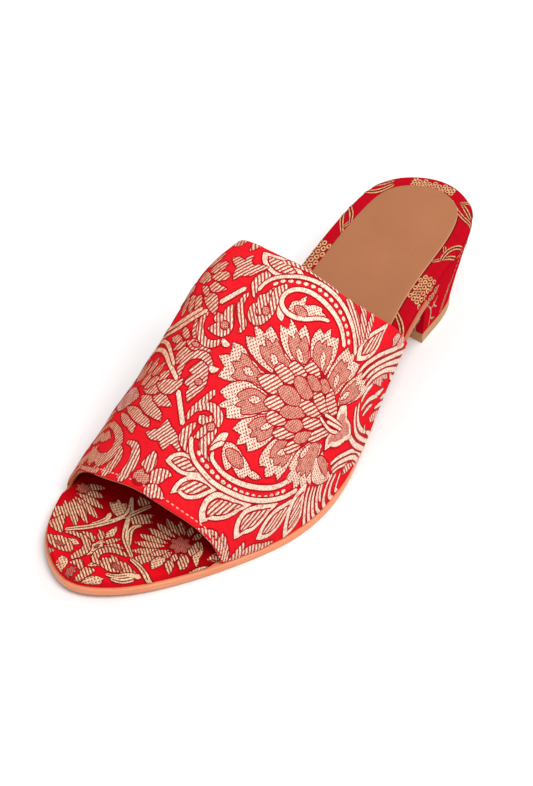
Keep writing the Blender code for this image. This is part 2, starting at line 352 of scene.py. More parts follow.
# The skin at a place: its spot, its normal, and the way heelwards along it.
def skinAt(back, girth):
    row, col = (back - backStart) / backStep, girth * girthSteps
    normal, lengthwise = readTable(normalTable, row, col), unit(readTable(spanBack, row, col))
    heelwards = unit(lengthwise - (lengthwise * normal).sum(-1)[..., None] * normal)
    return readTable(skinTable, row, col), normal, heelwards


# Height added to the cloth: each crease is a bell across its line, fading at both ends, and
# soft waves of 15 to 70 mm lie over all of it.
def creaseLift(across, back):
    lift = np.zeros(np.broadcast(across, back).shape)
    for startAcross, startBack, endAcross, endBack, width, depth in creases:
        lengthwise = np.array([endAcross - startAcross, endBack - startBack], float)
        reach = np.linalg.norm(lengthwise)
        way = lengthwise / reach
        along = (across - startAcross) * way[0] + (back - startBack) * way[1]
        aside = (back - startBack) * way[0] - (across - startAcross) * way[1]
        ends = np.clip(along / reach, 0, 1)
        fade = np.exp(-(((along / reach - ends) * reach / width) ** 2))
        fade = fade * np.sin(np.pi * (0.1 + 0.8 * ends))
        lift -= depth * fade * np.exp(-((aside / width) ** 2))
    uneven = np.sin(across * 0.21 + 1.3 * np.sin(back * 0.09)) * np.sin(back * 0.17 + 0.8)
    uneven += 0.5 * np.sin(across * 0.43 + back * 0.31)
    return lift + band["puff"] * 0.6 * uneven


# 0 at the band's two edges and 1 from a reach within them.
def awayFromEdges(back, toe, heel, reach):
    return np.clip((back - toe) / reach, 0, 1) * np.clip((heel - back) / reach, 0, 1)


# A point of the band's outside. Past the rim's start the cloth rolls over an edge circle:
# point = centre + radius (normal cos + outward sin), and lift is added along that normal.
def bandPoint(across, back, lift):
    across, back = np.broadcast_arrays(np.asarray(across, float), np.asarray(back, float))
    girth = np.clip(0.5 + across / girthAt(back), 0, 1)
    radius = band["rimRadius"]
    toe, heel = toeEdge(girth) + radius, heelEdge(girth) - radius
    held = np.clip(back, toe, heel)
    spot, normal, outward = skinAt(held, girth)
    turn = (back - held) / radius
    turn = np.clip(turn, -np.pi / 2, np.pi / 2)[..., None]
    edgeNormal = normal * np.cos(turn) + outward * np.sin(turn)
    spot = spot - normal * radius + edgeNormal * radius
    fromToe = held - toe + radius - band["stitchInset"]
    trough = band["stitchTrough"] * np.exp(-((fromToe / band["troughWidth"]) ** 2))
    extra = (creaseLift(across, held) - trough) * awayFromEdges(held, toe, heel, band["heldEdge"])
    return placeAll(spot + edgeNormal * (np.asarray(lift) + extra)[..., None])


def quadsOf(rows, cols, wrapRows=False, wrapCols=False):
    r = np.arange(rows if wrapRows else rows - 1)
    c = np.arange(cols if wrapCols else cols - 1)
    i, j = np.meshgrid(r, c, indexing="ij")
    nextI, nextJ = (i + 1) % rows, (j + 1) % cols
    quads = [i * cols + j, i * cols + nextJ, nextI * cols + nextJ, nextI * cols + j]
    return np.stack(quads, -1).reshape(-1, 4)


def addObject(name, data):
    made = bpy.data.objects.new(name, data)
    bpy.context.scene.collection.objects.link(made)
    return made


# One mesh object from points and quads: foreach_set fills it, then doubles are merged.
def makePiece(name, points, quads, materials, faceSlots=None, weave=None, merge=True, sharp=None):
    mesh = bpy.data.meshes.new(name)
    points, quads = np.asarray(points, np.float32), np.asarray(quads, np.int32)
    mesh.vertices.add(len(points))
    mesh.vertices.foreach_set("co", points.ravel())
    mesh.loops.add(quads.size)
    mesh.loops.foreach_set("vertex_index", quads.ravel())
    mesh.polygons.add(len(quads))
    mesh.polygons.foreach_set("loop_start", np.arange(0, quads.size, 4, dtype=np.int32))
    if weave is not None:
        layer = mesh.uv_layers.new(name="weave")
        layer.uv.foreach_set("vector", np.asarray(weave, np.float32)[quads.ravel()].ravel())
    for material in materials:
        mesh.materials.append(material)
    if faceSlots is not None:
        mesh.polygons.foreach_set("material_index", np.asarray(faceSlots, np.int32))
    mesh.update(calc_edges=True)
    mesh.validate()
    if merge:
        nearness = 1e-7  # metres
        work = bmesh.new()
        work.from_mesh(mesh)
        bmesh.ops.remove_doubles(work, verts=work.verts, dist=nearness)
        bmesh.ops.dissolve_degenerate(work, edges=work.edges, dist=nearness)
        bmesh.ops.recalc_face_normals(work, faces=work.faces)
        work.to_mesh(mesh)
        work.free()
    mesh.shade_smooth()
    if sharp:
        mesh.set_sharp_from_angle(angle=np.radians(sharp))
    return addObject(name, mesh)


# A colour given as red, green and blue from 0 to 255, as the shaders want it.
def linear(colour):
    channel = np.array(colour) / 255
    low, high = channel / 12.92, ((channel + 0.055) / 1.055) ** 2.4
    return (*np.where(channel <= 0.04045, low, high).tolist(), 1.0)


def addNode(tree, kind, settings=None, **inputs):
    node = tree.nodes.new(kind)
    for key, value in (settings or {}).items():
        setattr(node, key, value)
    for key, value in inputs.items():
        socket = node.inputs[int(key[1:])] if key[0] == "i" and key[1:].isdigit() else node.inputs[key]
        if isinstance(value, bpy.types.NodeSocket):
            tree.links.new(value, socket)
        else:
            socket.default_value = value
    return node


def addMath(tree, operation, first, second=0.0, clamp=False):
    settings = {"operation": operation, "use_clamp": clamp}
    return addNode(tree, "ShaderNodeMath", settings, i0=first, i1=second).outputs[0]


# A value times a factor plus an offset, kept from 0 to 1 where clamp is set.
def addScaled(tree, value, factor, offset, clamp=False):
    settings = {"operation": "MULTIPLY_ADD", "use_clamp": clamp}
    return addNode(tree, "ShaderNodeMath", settings, i0=value, i1=factor, i2=offset).outputs[0]


def mixColours(tree, share, first, second):
    node = addNode(tree, "ShaderNodeMix", {"data_type": "RGBA"}, i0=share, i6=first, i7=second)
    return node.outputs[2]


def noiseAt(tree, vector, scale, detail=2.0, roughness=0.5):
    inputs = {"Vector": vector, "Scale": scale, "Detail": detail, "Roughness": roughness}
    return addNode(tree, "ShaderNodeTexNoise", **inputs).outputs[0]


def objectPlace(tree):
    return addNode(tree, "ShaderNodeTexCoord").outputs["Object"]


def splitVector(tree, vector):
    return addNode(tree, "ShaderNodeSeparateXYZ", i0=vector).outputs


# Share from 0 to 1 between two places on one axis of the shoe, in metres.
def shareAlong(tree, axis, start, end):
    away = addMath(tree, "SUBTRACT", splitVector(tree, objectPlace(tree))[axis], start)
    return addMath(tree, "DIVIDE", away, end - start, True)


# Two tones that turn into others along an axis, as painted shade: each fade is axis, start, end, tone, tone.
def fadeTones(tree, first, second, fades):
    first, second = linear(first), linear(second)
    for axis, start, end, deep, bright in fades:
        share = shareAlong(tree, axis, start, end)
        first = mixColours(tree, share, first, linear(deep))
        second = mixColours(tree, share, second, linear(bright))
    return first, second


def newGroup(name, inputs, outputs):
    group = bpy.data.node_groups.new(name, "ShaderNodeTree")
    for label, start in inputs:
        socket = group.interface.new_socket(name=label, in_out="INPUT", socket_type="NodeSocketFloat")
        socket.default_value = start
    for label in outputs:
        group.interface.new_socket(name=label, in_out="OUTPUT", socket_type="NodeSocketFloat")
    return group, group.nodes.new("NodeGroupInput"), group.nodes.new("NodeGroupOutput")


perMillimetre = 2000 * np.pi  # turns a coordinate in metres into one turn a millimetre


# Fine plain weave from two crossed sets of threads, with slubs: Height and Shade, both 0 to 1.
def weaveGroup():
    group, given, made = newGroup("cloth weave", [("Thread", 0.3)], ["Height", "Shade"])
    spot = objectPlace(group)
    scale = addMath(group, "DIVIDE", perMillimetre, given.outputs["Thread"])
    x, y, z = splitVector(group, spot)
    threads = []
    for operation, first in (("ADD", x), ("SUBTRACT", y)):
        turns = addMath(group, "MULTIPLY", addMath(group, operation, first, z), scale)
        threads.append(addScaled(group, addMath(group, "SINE", turns), 0.25, 0.25))
    group.links.new(addMath(group, "ADD", *threads), made.inputs["Height"])
    stretched = addNode(group, "ShaderNodeMapping", Vector=spot, Scale=(1.0, 6.0, 1.0)).outputs[0]
    group.links.new(noiseAt(group, stretched, 260.0, 3.0), made.inputs["Shade"])
    return group


# Leather grain: fine pebbles for the Height and slow clouds for the Shade.
def grainGroup():
    group, given, made = newGroup("leather grain", [("Pebble", 0.6)], ["Height", "Shade"])
    spot = objectPlace(group)
    scale = addMath(group, "DIVIDE", 1000.0, given.outputs["Pebble"])
    cells = addNode(group, "ShaderNodeTexVoronoi", {"feature": "SMOOTH_F1"}, Vector=spot, Scale=scale)
    group.links.new(cells.outputs["Distance"], made.inputs["Height"])
    group.links.new(noiseAt(group, spot, 45.0, 3.0, 0.55), made.inputs["Shade"])
    return group


# Diagonal twist of laid metal threads, 0 in the dark grooves and 1 on the threads.
def twistGroup():
    group, given, made = newGroup("thread twist", [("Pitch", 1.2)], ["Value"])
    spot = objectPlace(group)
    x, y, z = splitVector(group, spot)
    slant = addMath(group, "ADD", x, addMath(group, "MULTIPLY", y, 0.55))
    slant = addMath(group, "SUBTRACT", slant, addMath(group, "MULTIPLY", z, 0.8))
    turns = addMath(group, "DIVIDE", perMillimetre, given.outputs["Pitch"])
    waver = addMath(group, "MULTIPLY", noiseAt(group, spot, 420.0), 5.0)
    phase = addMath(group, "ADD", addMath(group, "MULTIPLY", slant, turns), waver)
    wave = addScaled(group, addMath(group, "SINE", phase), 1.1, 0.85, True)
    group.links.new(wave, made.inputs["Value"])
    return group


clothWeave, leatherGrain, threadTwist = weaveGroup(), grainGroup(), twistGroup()


# A new material with a Principled BSDF, whose sockets are named with _ for each space.
def newMaterial(name, roughness, **sockets):
    material = bpy.data.materials.new(name)
    material.use_nodes = True
    shader = material.node_tree.nodes["Principled BSDF"]
    shader.inputs["Roughness"].default_value = roughness
    for label, value in sockets.items():
        shader.inputs[label.replace("_", " ")].default_value = value
    return material, material.node_tree, shader


def addBump(tree, shader, height, distance, strength):
    inputs = {"Height": height, "Distance": distance, "Strength": strength}
    bump = addNode(tree, "ShaderNodeBump", **inputs)
    tree.links.new(bump.outputs[0], shader.inputs["Normal"])


def useGroup(tree, group, **inputs):
    return addNode(tree, "ShaderNodeGroup", {"node_tree": group}, **inputs).outputs


# Satin ground: the weave darkens the valleys a little and slow noise varies the dye.
def satinMaterial(name, deep, bright, fades=()):
    material, tree, shader = newMaterial(name, 0.42, Specular_IOR_Level=0.0)
    weave = useGroup(tree, clothWeave, Thread=0.34)
    share = addScaled(tree, weave["Height"], 0.35, 0.2)
    share = addMath(tree, "ADD", share, addMath(tree, "MULTIPLY", weave["Shade"], 0.7), True)
    deep, bright = fadeTones(tree, deep, bright, fades)
    tree.links.new(mixColours(tree, share, deep, bright), shader.inputs["Base Color"])
    addBump(tree, shader, weave["Height"], 0.00004, 0.5)
    return material


metalThread = {
    "thread": 0.42,
    "twist": 1.15,
    "groove": 0.42,  # how dark the twist's grooves are
    "waver": 2.4,  # unevenness of the bars, in radians
    "phase": 1.2,  # where in its pitch a bar starts, in radians
    "contrast": 1.6,  # how sharply a bar ends in its gap
    "specular": 0.12,
}


# Metal thread: the weave map counts bars and specks, and a dark gap lies between two.
def threadMaterial(name, gap, dull, bright, roughness, metallic=0.0, gapShare=0.5, fades=()):
    look = metalThread
    material, tree, shader = newMaterial(
        name, roughness, Metallic=metallic, Specular_IOR_Level=look["specular"]
    )
    counts = splitVector(tree, addNode(tree, "ShaderNodeUVMap", {"uv_map": "weave"}).outputs[0])
    waver = addMath(tree, "MULTIPLY", noiseAt(tree, objectPlace(tree), 520.0), look["waver"])
    waves = []
    for count in counts[:2]:
        turns = addMath(tree, "ADD", addMath(tree, "MULTIPLY", count, 2 * np.pi), waver)
        waves.append(addMath(tree, "SINE", addMath(tree, "SUBTRACT", turns, look["phase"])))
    level = addScaled(tree, addMath(tree, "MAXIMUM", *waves), look["contrast"], gapShare, True)
    weave = useGroup(tree, clothWeave, Thread=look["thread"])
    shade = addScaled(tree, weave["Shade"], 1.6, -0.3, True)
    thread = mixColours(tree, shade, *fadeTones(tree, dull, bright, fades))
    twist = useGroup(tree, threadTwist, Pitch=look["twist"])
    groove = addScaled(tree, twist["Value"], look["groove"], 1 - look["groove"])
    worn = addScaled(tree, noiseAt(tree, objectPlace(tree), 900.0, 2.0, 0.6), 3.4, -0.75, True)
    level = addMath(tree, "MULTIPLY", level, addMath(tree, "MINIMUM", groove, worn))
    tree.links.new(mixColours(tree, level, linear(gap), thread), shader.inputs["Base Color"])
    height = addMath(tree, "ADD", level, addMath(tree, "MULTIPLY", weave["Height"], 0.6))
    addBump(tree, shader, height, 0.00008, 0.6)
    return material


# Leather: slow clouds vary its tone, and fine pebbles of a size in millimetres its relief.
def leatherMaterial(name, deep, bright, roughness, pebble=0.5, fades=()):
    material, tree, shader = newMaterial(name, roughness, Specular_IOR_Level=0.35)
    grain = useGroup(tree, leatherGrain, Pebble=pebble)
    tones = fadeTones(tree, deep, bright, fades)
    tree.links.new(mixColours(tree, grain["Shade"], *tones), shader.inputs["Base Color"])
    addBump(tree, shader, grain["Height"], 0.00003, 0.5)
    return material


# Axis, start and end of the fades of painted shade, darker towards the heel, towards the foot's inner side
# and under the band's toe edge: x is 0 and y is 1.
shadeToHeel, shadeToInnerSide, shadeUnderBand = (1, 0.0, 0.055), (0, -0.012, -0.036), (1, -0.1, -0.082)

finishes = {
    "satin": satinMaterial("red satin", (190, 14, 24), (240, 34, 44)),
    # the footbed's satin turns darker under the band's toe edge and towards the heel: painted shade
    "footbedSatin": satinMaterial(
        "footbed satin", (176, 6, 16), (228, 18, 32),
        [(*shadeUnderBand, (112, 0, 6), (154, 4, 12)), (*shadeToHeel, (140, 6, 18), (192, 14, 32))],
    ),
    # the heel's satin, the band's cloth in darker tones: painted shade
    "heelSatin": satinMaterial("heel satin", (152, 8, 20), (206, 16, 36)),
    # each thread: its gap, dull and bright tones, roughness, metallic, share of the gap
    "gold": threadMaterial(
        "gold thread", (176, 46, 40), (242, 204, 170), (255, 252, 234), 0.45, 0.08, 0.6,
        # the band's gold turns duller and more orange towards the foot's inner side: painted shade
        [(*shadeToInnerSide, (214, 146, 96), (240, 190, 138))],
    ),
    # the footbed's and heel's gold: duller than the band's, and darker towards the heel as painted shade
    "footbedGold": threadMaterial(
        "footbed gold thread", (140, 36, 28), (226, 172, 130), (255, 230, 190), 0.55, 0.05, 0.62,
        [(*shadeToHeel, (204, 144, 96), (242, 198, 146))],
    ),
    "rose": threadMaterial(
        "rose thread", (150, 20, 24), (208, 120, 104), (242, 188, 162), 0.5, gapShare=0.54
    ),
    # darker copies of the rose and wine threads for the footbed and heel: painted shade
    "deepRose": threadMaterial(
        "deep rose thread", (128, 22, 24), (168, 74, 64), (206, 124, 104), 0.55, gapShare=0.55
    ),
    "outline": threadMaterial("wine thread", (150, 2, 12), (160, 4, 16), (188, 8, 22), 0.7),
    "deepOutline": threadMaterial(
        "deep wine thread", (104, 2, 8), (116, 4, 12), (138, 6, 16), 0.7
    ),
    "stitch": threadMaterial(
        "stitch thread", (190, 120, 96), (226, 176, 146), (244, 208, 180), 0.6
    ),
    "lining": leatherMaterial("tan lining", (176, 108, 62), (206, 136, 86), 0.55),
    "sock": leatherMaterial("sock leather", (158, 97, 61), (173, 110, 72), 0.6, 0.45),
    "sockEdge": leatherMaterial("sock edge", (206, 150, 112), (222, 170, 132), 0.6, 0.45),
    "sole": leatherMaterial(
        "sole leather", (220, 130, 90), (242, 158, 114), 0.42, 0.7,
        # darker from the middle of the sole back towards the heel: painted shade
        [(1, 0.0, 0.03, (172, 90, 54), (200, 114, 74))],
    ),
    "lift": leatherMaterial("lift", (176, 124, 76), (196, 146, 94), 0.5, 0.8),
}
print("materials made")


# Direction of the weft at a place on the band, which turns across the lasted cloth.
def bandWeft(across, back):
    return np.radians(62 - 0.26 * (back - 55) - across * (0.95 - 0.004 * (back - 55)))


def flatWeft(across, back):
    return np.radians(35.0) + 0 * across


# How far a coat's rim lies from its level, and how far its top rises above that.
coatRise = {
    "stitch": (-0.1, 0.32),
    "outline": (-0.02, 0.02),
    "edged": (0, 0.035),
    "bare": (-0.02, 0.055),
}

nextLevel = 0.065  # between shapes that touch or lie on each other


# Neighbours in a table lie at two levels in turn, so that none cuts another.
def levelOf(order, level, step=nextLevel):
    return level + step * (order % 2)


class Cloth:
    # Collects shapes by tone: grids of chart points, their heights and their weave counts.
    def __init__(self, weft):
        self.weft = weft
        self.shapes = {"outline": [], "gold": [], "rose": [], "stitch": []}

    # The weave map counts 1 for each pitch: bars run across one direction, specks lie in both.
    # A plain shape keeps the counts at which neither leaves a gap.
    def weaveOf(self, grid, bars, pitch):
        weave = np.empty(grid.shape)
        weave[...] = (0.25, 0.75)
        across, back = grid[..., 0], grid[..., 1]
        angle = self.weft(*grid.reshape(-1, 2).mean(0))
        if bars == "warp":
            angle = angle + np.pi / 2 - 0.35
        elif bars == "cross":
            angle = np.radians(128) - 0.2 * angle
        if bars:
            weave[..., 0] = (across * np.sin(angle) + back * np.cos(angle)) / pitch
        if bars == "speck":
            weave[..., 1] = (across * np.cos(angle) - back * np.sin(angle)) / pitch
        return weave

    # What a shape is made of: a wider outline first, where it has one, and then its own tone.
    def coats(self, edge, tone):
        return ([(edge, "outline")] if edge else []) + [(0, tone)]

    # Height over a shape, which rises from its edge to a flat top: fills above their outlines.
    def raised(self, tone, level, dome, edged):
        kind = "edged" if edged else "bare"
        if tone == "stitch" or tone == "outline" and edged:
            kind = tone
        rim, rise = coatRise[kind]
        return level + rim + rise * dome

    # A strip of half width to both sides of a line, slightly domed and dipping at its edges.
    def add(self, tone, line, half, level, bars=None, pitch=1.5, edged=True):
        aside = quarterTurn(unit(np.gradient(line, axis=0), 1e-9))
        t = np.sin(np.linspace(-np.pi / 2, np.pi / 2, 5))
        grid = line[:, None] + aside[:, None] * half[:, None, None] * t[None, :, None]
        ends = np.ones(len(line))
        ends[[0, -1]] = 0
        dome = np.clip((1 - t**2) * 2.2, 0, 1)[None] * ends[:, None]
        height = self.raised(tone, level, dome, edged)
        self.shapes[tone].append((grid, height, self.weaveOf(grid, bars, pitch)))

    # A patch inside sharp corners whose sides bow outwards by a share of their length. Its
    # grid runs from the border to the nearest point of the patch's own long axis. shrink
    # draws it in towards its middle, along that axis and across it.
    def patch(self, corners, level=0.05, tone="gold", bars=None, pitch=0.9,
              edge=0.55, bow=0.05, shrink=None, inset=0.12):
        corners = np.asarray(corners, float)
        after = np.roll(corners, -1, 0)
        turn = np.sign((corners[:, 0] * after[:, 1] - corners[:, 1] * after[:, 0]).sum())
        t = np.linspace(0, 1, 5)[:-1][None, :, None]
        side = after - corners
        out = quarterTurn(side) * -turn
        ring = corners[:, None] + side[:, None] * t + out[:, None] * bow * 4 * t * (1 - t)
        ring = ring.reshape(-1, 2)
        middle = ring.mean(0)
        axis = np.linalg.svd(ring - middle)[2][0]
        if shrink:
            aside, off = quarterTurn(axis), ring - middle
            lengthwise = axis * (off @ axis)[:, None] * shrink[0]
            ring = middle + lengthwise + aside * (off @ aside)[:, None] * shrink[1]
        reach = (ring - middle) @ axis
        held = np.clip(reach, reach.min() * 0.6, reach.max() * 0.6)
        heart = middle + axis * held[:, None]
        normal = quarterTurn(unit(np.roll(ring, -1, 0) - np.roll(ring, 1, 0), 1e-9)) * -turn
        share = np.array([0, 0.12, 0.55, 1.0])[None, :, None]
        dome = np.array([0, 1, 1, 1])[None]
        closed = np.r_[np.arange(len(ring)), 0]
        for wide, shade in self.coats(edge, tone):
            border = ring + normal * (wide - inset)
            grid = (border[:, None] * (1 - share) + heart[:, None] * share)[closed]
            height = self.raised(shade, level, dome + 0 * grid[..., 0], bool(edge))
            weave = self.weaveOf(grid, bars if shade == tone else None, pitch)
            self.shapes[shade].append((grid, height, weave))

    # A ribbon through points, with widths given at even shares of its length and round ends.
    def ribbon(self, points, widths, level=0.05, tone="gold", bars=None, pitch=1.5, edge=0.5):
        points = np.asarray(points, float)
        length = np.linalg.norm(np.diff(points, axis=0), axis=1).sum()
        line = lineThrough(points, max(int(length / 0.7), 8))
        share = np.linspace(0, 1, len(line))
        width = np.interp(share, np.linspace(0, 1, len(widths)), widths)
        near = np.minimum(share, 1 - share) * length
        for wide, shade in self.coats(edge, tone):
            half = width / 2 + wide
            short = 1 - np.clip((near + wide * 0.2) / half, 0, 1)
            cap = np.sqrt(np.clip(1 - short**2, 0, 1))
            self.add(shade, line, cap * half, level, None if wide else bars, pitch, bool(edge))

    # A leaf from base to tip: half width = width/2 sin(pi s^swell)^point, on a bowed axis.
    def leaf(self, base, tip, width, bend=0.0, level=0.05, tone="gold", bars="weft",
             pitch=1.4, edge=0.5, swell=0.9, point=0.8):
        base, tip = np.asarray(base, float), np.asarray(tip, float)
        length = np.linalg.norm(tip - base)
        bow = quarterTurn(tip - base) * bend
        s = np.linspace(0, 1, max(int(length / 0.6), 9))
        for wide, shade in self.coats(edge, tone):
            first = base - (tip - base) / length * wide
            last = tip + (tip - base) / length * wide
            line = first + (last - first) * s[:, None] + bow * (4 * s * (1 - s))[:, None]
            half = (width / 2 + wide) * np.sin(np.pi * s**swell) ** point
            self.add(shade, line, half, level, None if wide else bars, pitch, bool(edge))

    # Leaf with a plain rim, a dark inner line and a barred middle.
    def rimmedLeaf(self, corners, level=0.05):
        self.patch(corners, level)
        self.patch(corners, level + nextLevel, "outline", edge=0, shrink=(0.74, 0.68))
        middle = {"bars": "warp", "pitch": 1.6, "shrink": (0.65, 0.54)}
        self.patch(corners, level + 2 * nextLevel, edge=0, **middle)

    # Lobed petal: a speckled patch with a smaller rose one round its base, and a pale eye.
    def lobedPetal(self, corners, base, eye, level):
        self.patch(corners, level, bars="speck", pitch=1.15)
        inner = base + (np.array(corners) - base) * 0.68
        self.patch(inner, level + 0.07, "rose", "speck", 0.8, edge=0.45)
        iris = {"bars": "speck", "pitch": 1.2, "edge": 0.4, "swell": 1.2}
        self.leaf(eye[0:2], eye[2:4], eye[4], 0, level + 0.14, **iris)

    # A field of small scales between two lines, in staggered rows across the share of each.
    def scales(self, first, last, rows, cols, size, level=0.05):
        first, last = np.asarray(first, float), np.asarray(last, float)
        ahead = (first[1] - first[0]) / np.linalg.norm(first[1] - first[0]) * size[0] / 2
        # each scale is a plain gold leaf with a dark eye of the same form on it
        parts = ((1, 0, "gold", None, 0.3), (0.42, nextLevel, "outline", "weft", 0))
        for row in range(rows):
            for col in range(cols - row % 2):
                share = (row + 0.5) / rows, (col + 0.5 + 0.5 * (row % 2)) / cols
                start = first[0] + (first[1] - first[0]) * share[0]
                end = last[0] + (last[1] - last[0]) * share[0]
                spot = start + (end - start) * share[1]
                for part, lift, tone, bars, edge in parts:
                    look = {"level": level + lift, "tone": tone, "bars": bars, "edge": edge}
                    ends = spot - ahead * part, spot + ahead * part
                    self.leaf(*ends, size[1] * part, point=0.6, **look)

    # A row of beads along a line, one for each pitch.
    def beads(self, points, size, pitch, level=0.05):
        line = lineThrough(points, 200)
        run = runAlong(line)
        for at in np.arange(pitch / 2, run[-1], pitch):
            spot = np.array([np.interp(at, run, line[:, k]) for k in (0, 1)])
            ahead = np.array([np.interp(at + 0.5, run, line[:, k]) for k in (0, 1)]) - spot
            ahead *= size[0] / 2 / np.linalg.norm(ahead)
            self.leaf(spot - ahead, spot + ahead, size[1], 0, level, bars=None, edge=0.2, point=0.5)


# The band's brocade, charted: each point is across and back.
rimmedLeaves = (
    # corners of a leaf with a plain rim and a barred middle
    ((3.9, 50.2), (8.2, 49.3), (13, 49.4), (16.6, 51.4), (20.2, 54.2), (15, 55.2), (11, 56.6), (7, 55.4),
    (4.6, 53.2)),
    ((14, 42), (15.8, 43.8), (20, 44), (23.6, 47), (25.6, 50.6), (27.6, 54.6), (21, 53.8), (16.4, 51.8),
    (13.6, 48), (13.2, 44.8)),
    ((30.4, 42.2), (32.4, 45.4), (36.4, 48.6), (39, 52.2), (40.4, 56), (42.8, 60.8), (36, 57.4),
    (31.2, 55.2), (27.2, 53), (25.7, 48.4), (27.2, 44.4)),
    ((48, 50), (49.6, 53.6), (51.9, 57), (52.2, 61.4), (51.8, 65.4), (52.6, 69.8), (48, 65.4),
    (44.2, 61.6), (41.6, 57.4), (42, 53.8), (44.4, 51.2)),
    ((57, 57.4), (60, 60), (61.9, 63.4), (62, 67.4), (60.2, 71.4), (58.6, 77), (55.6, 72.4), (53.4, 68.2),
    (52.9, 63.8), (54.2, 60)),
    ((70.9, 68.4), (71.2, 73), (69.6, 77), (65.4, 78.8), (61.8, 80.6), (59, 83.6), (57.2, 79),
    (58.2, 74.4), (61.4, 70.8), (65.4, 68.8)),
    ((-11.6, 132), (-9.2, 128.6), (-4.4, 126.2), (1, 125.6), (5, 127.2), (9.8, 131.2), (5, 133.2),
    (-1, 133.8), (-6.4, 132.9)),
    ((48.4, 126.2), (51.6, 130), (53.4, 134.6), (53.8, 139.4), (52.2, 144.4), (51.6, 149.6), (47.6, 143),
    (45.4, 138), (44.4, 132.6), (46, 128.4)),
)

lotusPetals = (
    # corners of a petal; the place it shrinks to; its eye as base, tip and width
    (((24, 93.5), (20, 90.4), (14.5, 89.6), (9.8, 87.4), (6.5, 85.3), (1.4, 84.3), (3.6, 88), (-2.8, 90.8),
    (2.2, 93.4), (-0.4, 97.2), (4.2, 97.9), (9, 95.9), (15, 95), (20, 95.6)), (16.4, 92.4),
    (13.6, 92, 8.6, 91.8, 2.6)),
    (((27, 86.8), (23.5, 83.3), (19.8, 79), (16.4, 76), (13.2, 74.2), (13.3, 78.2), (7.8, 75.4),
    (10.6, 80.6), (5.6, 80.1), (7, 84), (9.6, 87), (13, 88.9), (17.5, 89.7), (22.5, 90.2)), (26, 88.4),
    (21.4, 87.4, 17, 84.4, 2.6)),
    (((34, 87), (33.2, 81), (31.6, 76), (29.8, 72.9), (27.7, 70.7), (27, 76.2), (25, 71.8), (22.4, 69.5),
    (22, 76.2), (18, 72.6), (18.8, 77), (21.5, 81), (26.5, 85.4), (31, 89)), (31.6, 86.6),
    (31, 85.6, 27, 79.6, 1.9)),
    (((40.5, 90), (36.3, 85), (34, 80.5), (33, 76), (33.4, 72.4), (35.3, 70.7), (36.9, 75.4), (37.9, 71.4),
    (39.8, 70), (41.9, 72), (42.6, 76.4), (45.1, 73), (45.8, 77), (45.4, 82), (44.6, 87.5)), (40.6, 86.6),
    (42, 83, 38.4, 78.6, 2)),
    (((50, 94), (47, 88.5), (45.4, 84), (45.9, 79.6), (48.4, 80.6), (48.2, 77), (50.6, 75.8), (52.2, 79.4),
    (54.8, 77), (55.8, 81), (58.9, 79.8), (58.4, 84), (61.4, 84.6), (58.6, 87.8), (57, 91), (55, 96)),
    (52.4, 93.5), (49.4, 92, 48.4, 85.2, 2.2)),
    (((27, 100.5), (21.5, 97.6), (16, 96.6), (10.5, 97), (5.8, 98.6), (3.3, 101.4), (8, 102.4),
    (3.9, 106.4), (10.2, 105.6), (9.8, 109.3), (14.5, 107.8), (19, 105.4), (24, 104.6)), (24.6, 102),
    (20.6, 99.8, 15.6, 101.8, 2.6)),
    (((31, 108), (26, 105.4), (21.3, 105.6), (16.8, 107.4), (13.2, 111.8), (19.2, 111.2), (15.4, 115.9),
    (21.4, 113.8), (21.6, 117.8), (25.6, 116), (28.3, 112.6), (30.5, 110.8)), (29.4, 109),
    (29, 107, 23.6, 109.8, 2.4)),
    (((36, 109.5), (30.6, 111.4), (27.6, 114.6), (26.7, 118), (27.3, 121.1), (29.9, 118.6), (30.7, 124.3),
    (33.6, 120.4), (35.6, 124.5), (38.6, 120.6), (39.8, 116), (39.6, 111)), (35.4, 110.8),
    (37.4, 111.2, 33.8, 116.4, 2.4)),
    (((46, 109.5), (41, 111), (40.4, 117), (41.3, 125.6), (43.4, 121.4), (45.6, 127.9), (47.4, 122.2),
    (50.8, 126.9), (51.9, 121.8), (50, 117), (48.8, 110.5)), (44.8, 110.6), (46.6, 111, 44.6, 116.4, 2.2)),
    (((52.5, 109.5), (50.6, 113), (51.2, 118), (53, 122.5), (54.3, 126.6), (56.4, 122.4), (59, 128),
    (59.7, 122.2), (63, 127.4), (62, 121.4), (59.4, 117), (56, 112.6)), (53.6, 112),
    (51.8, 111.4, 54.8, 117, 2)),
)

lotusGround = (
    # corners of the dark ground that shows between the petals of the lotus's middle
    (14.8, 92.4), (17.4, 91), (20.6, 90.7), (22.4, 90.4), (22.2, 87), (25.8, 86.8), (26, 84), (28, 83.2),
    (31, 84), (31.8, 81.6), (35, 81.8), (38.4, 84), (39.8, 84.6), (39.8, 81.2), (42.4, 81.6), (44.8, 84.4),
    (45.8, 87.4), (46.6, 91.2), (48.8, 92), (51, 94.2), (53, 97.2), (55.4, 101.6), (54.4, 105.6),
    (54, 108.8), (44.6, 110.8), (30.2, 110.8), (30, 106.4), (24.8, 105.8), (23.8, 102.6), (19.6, 101.6),
    (19, 98.4), (20, 97.4), (17.8, 95.8), (15.8, 94.4),
)

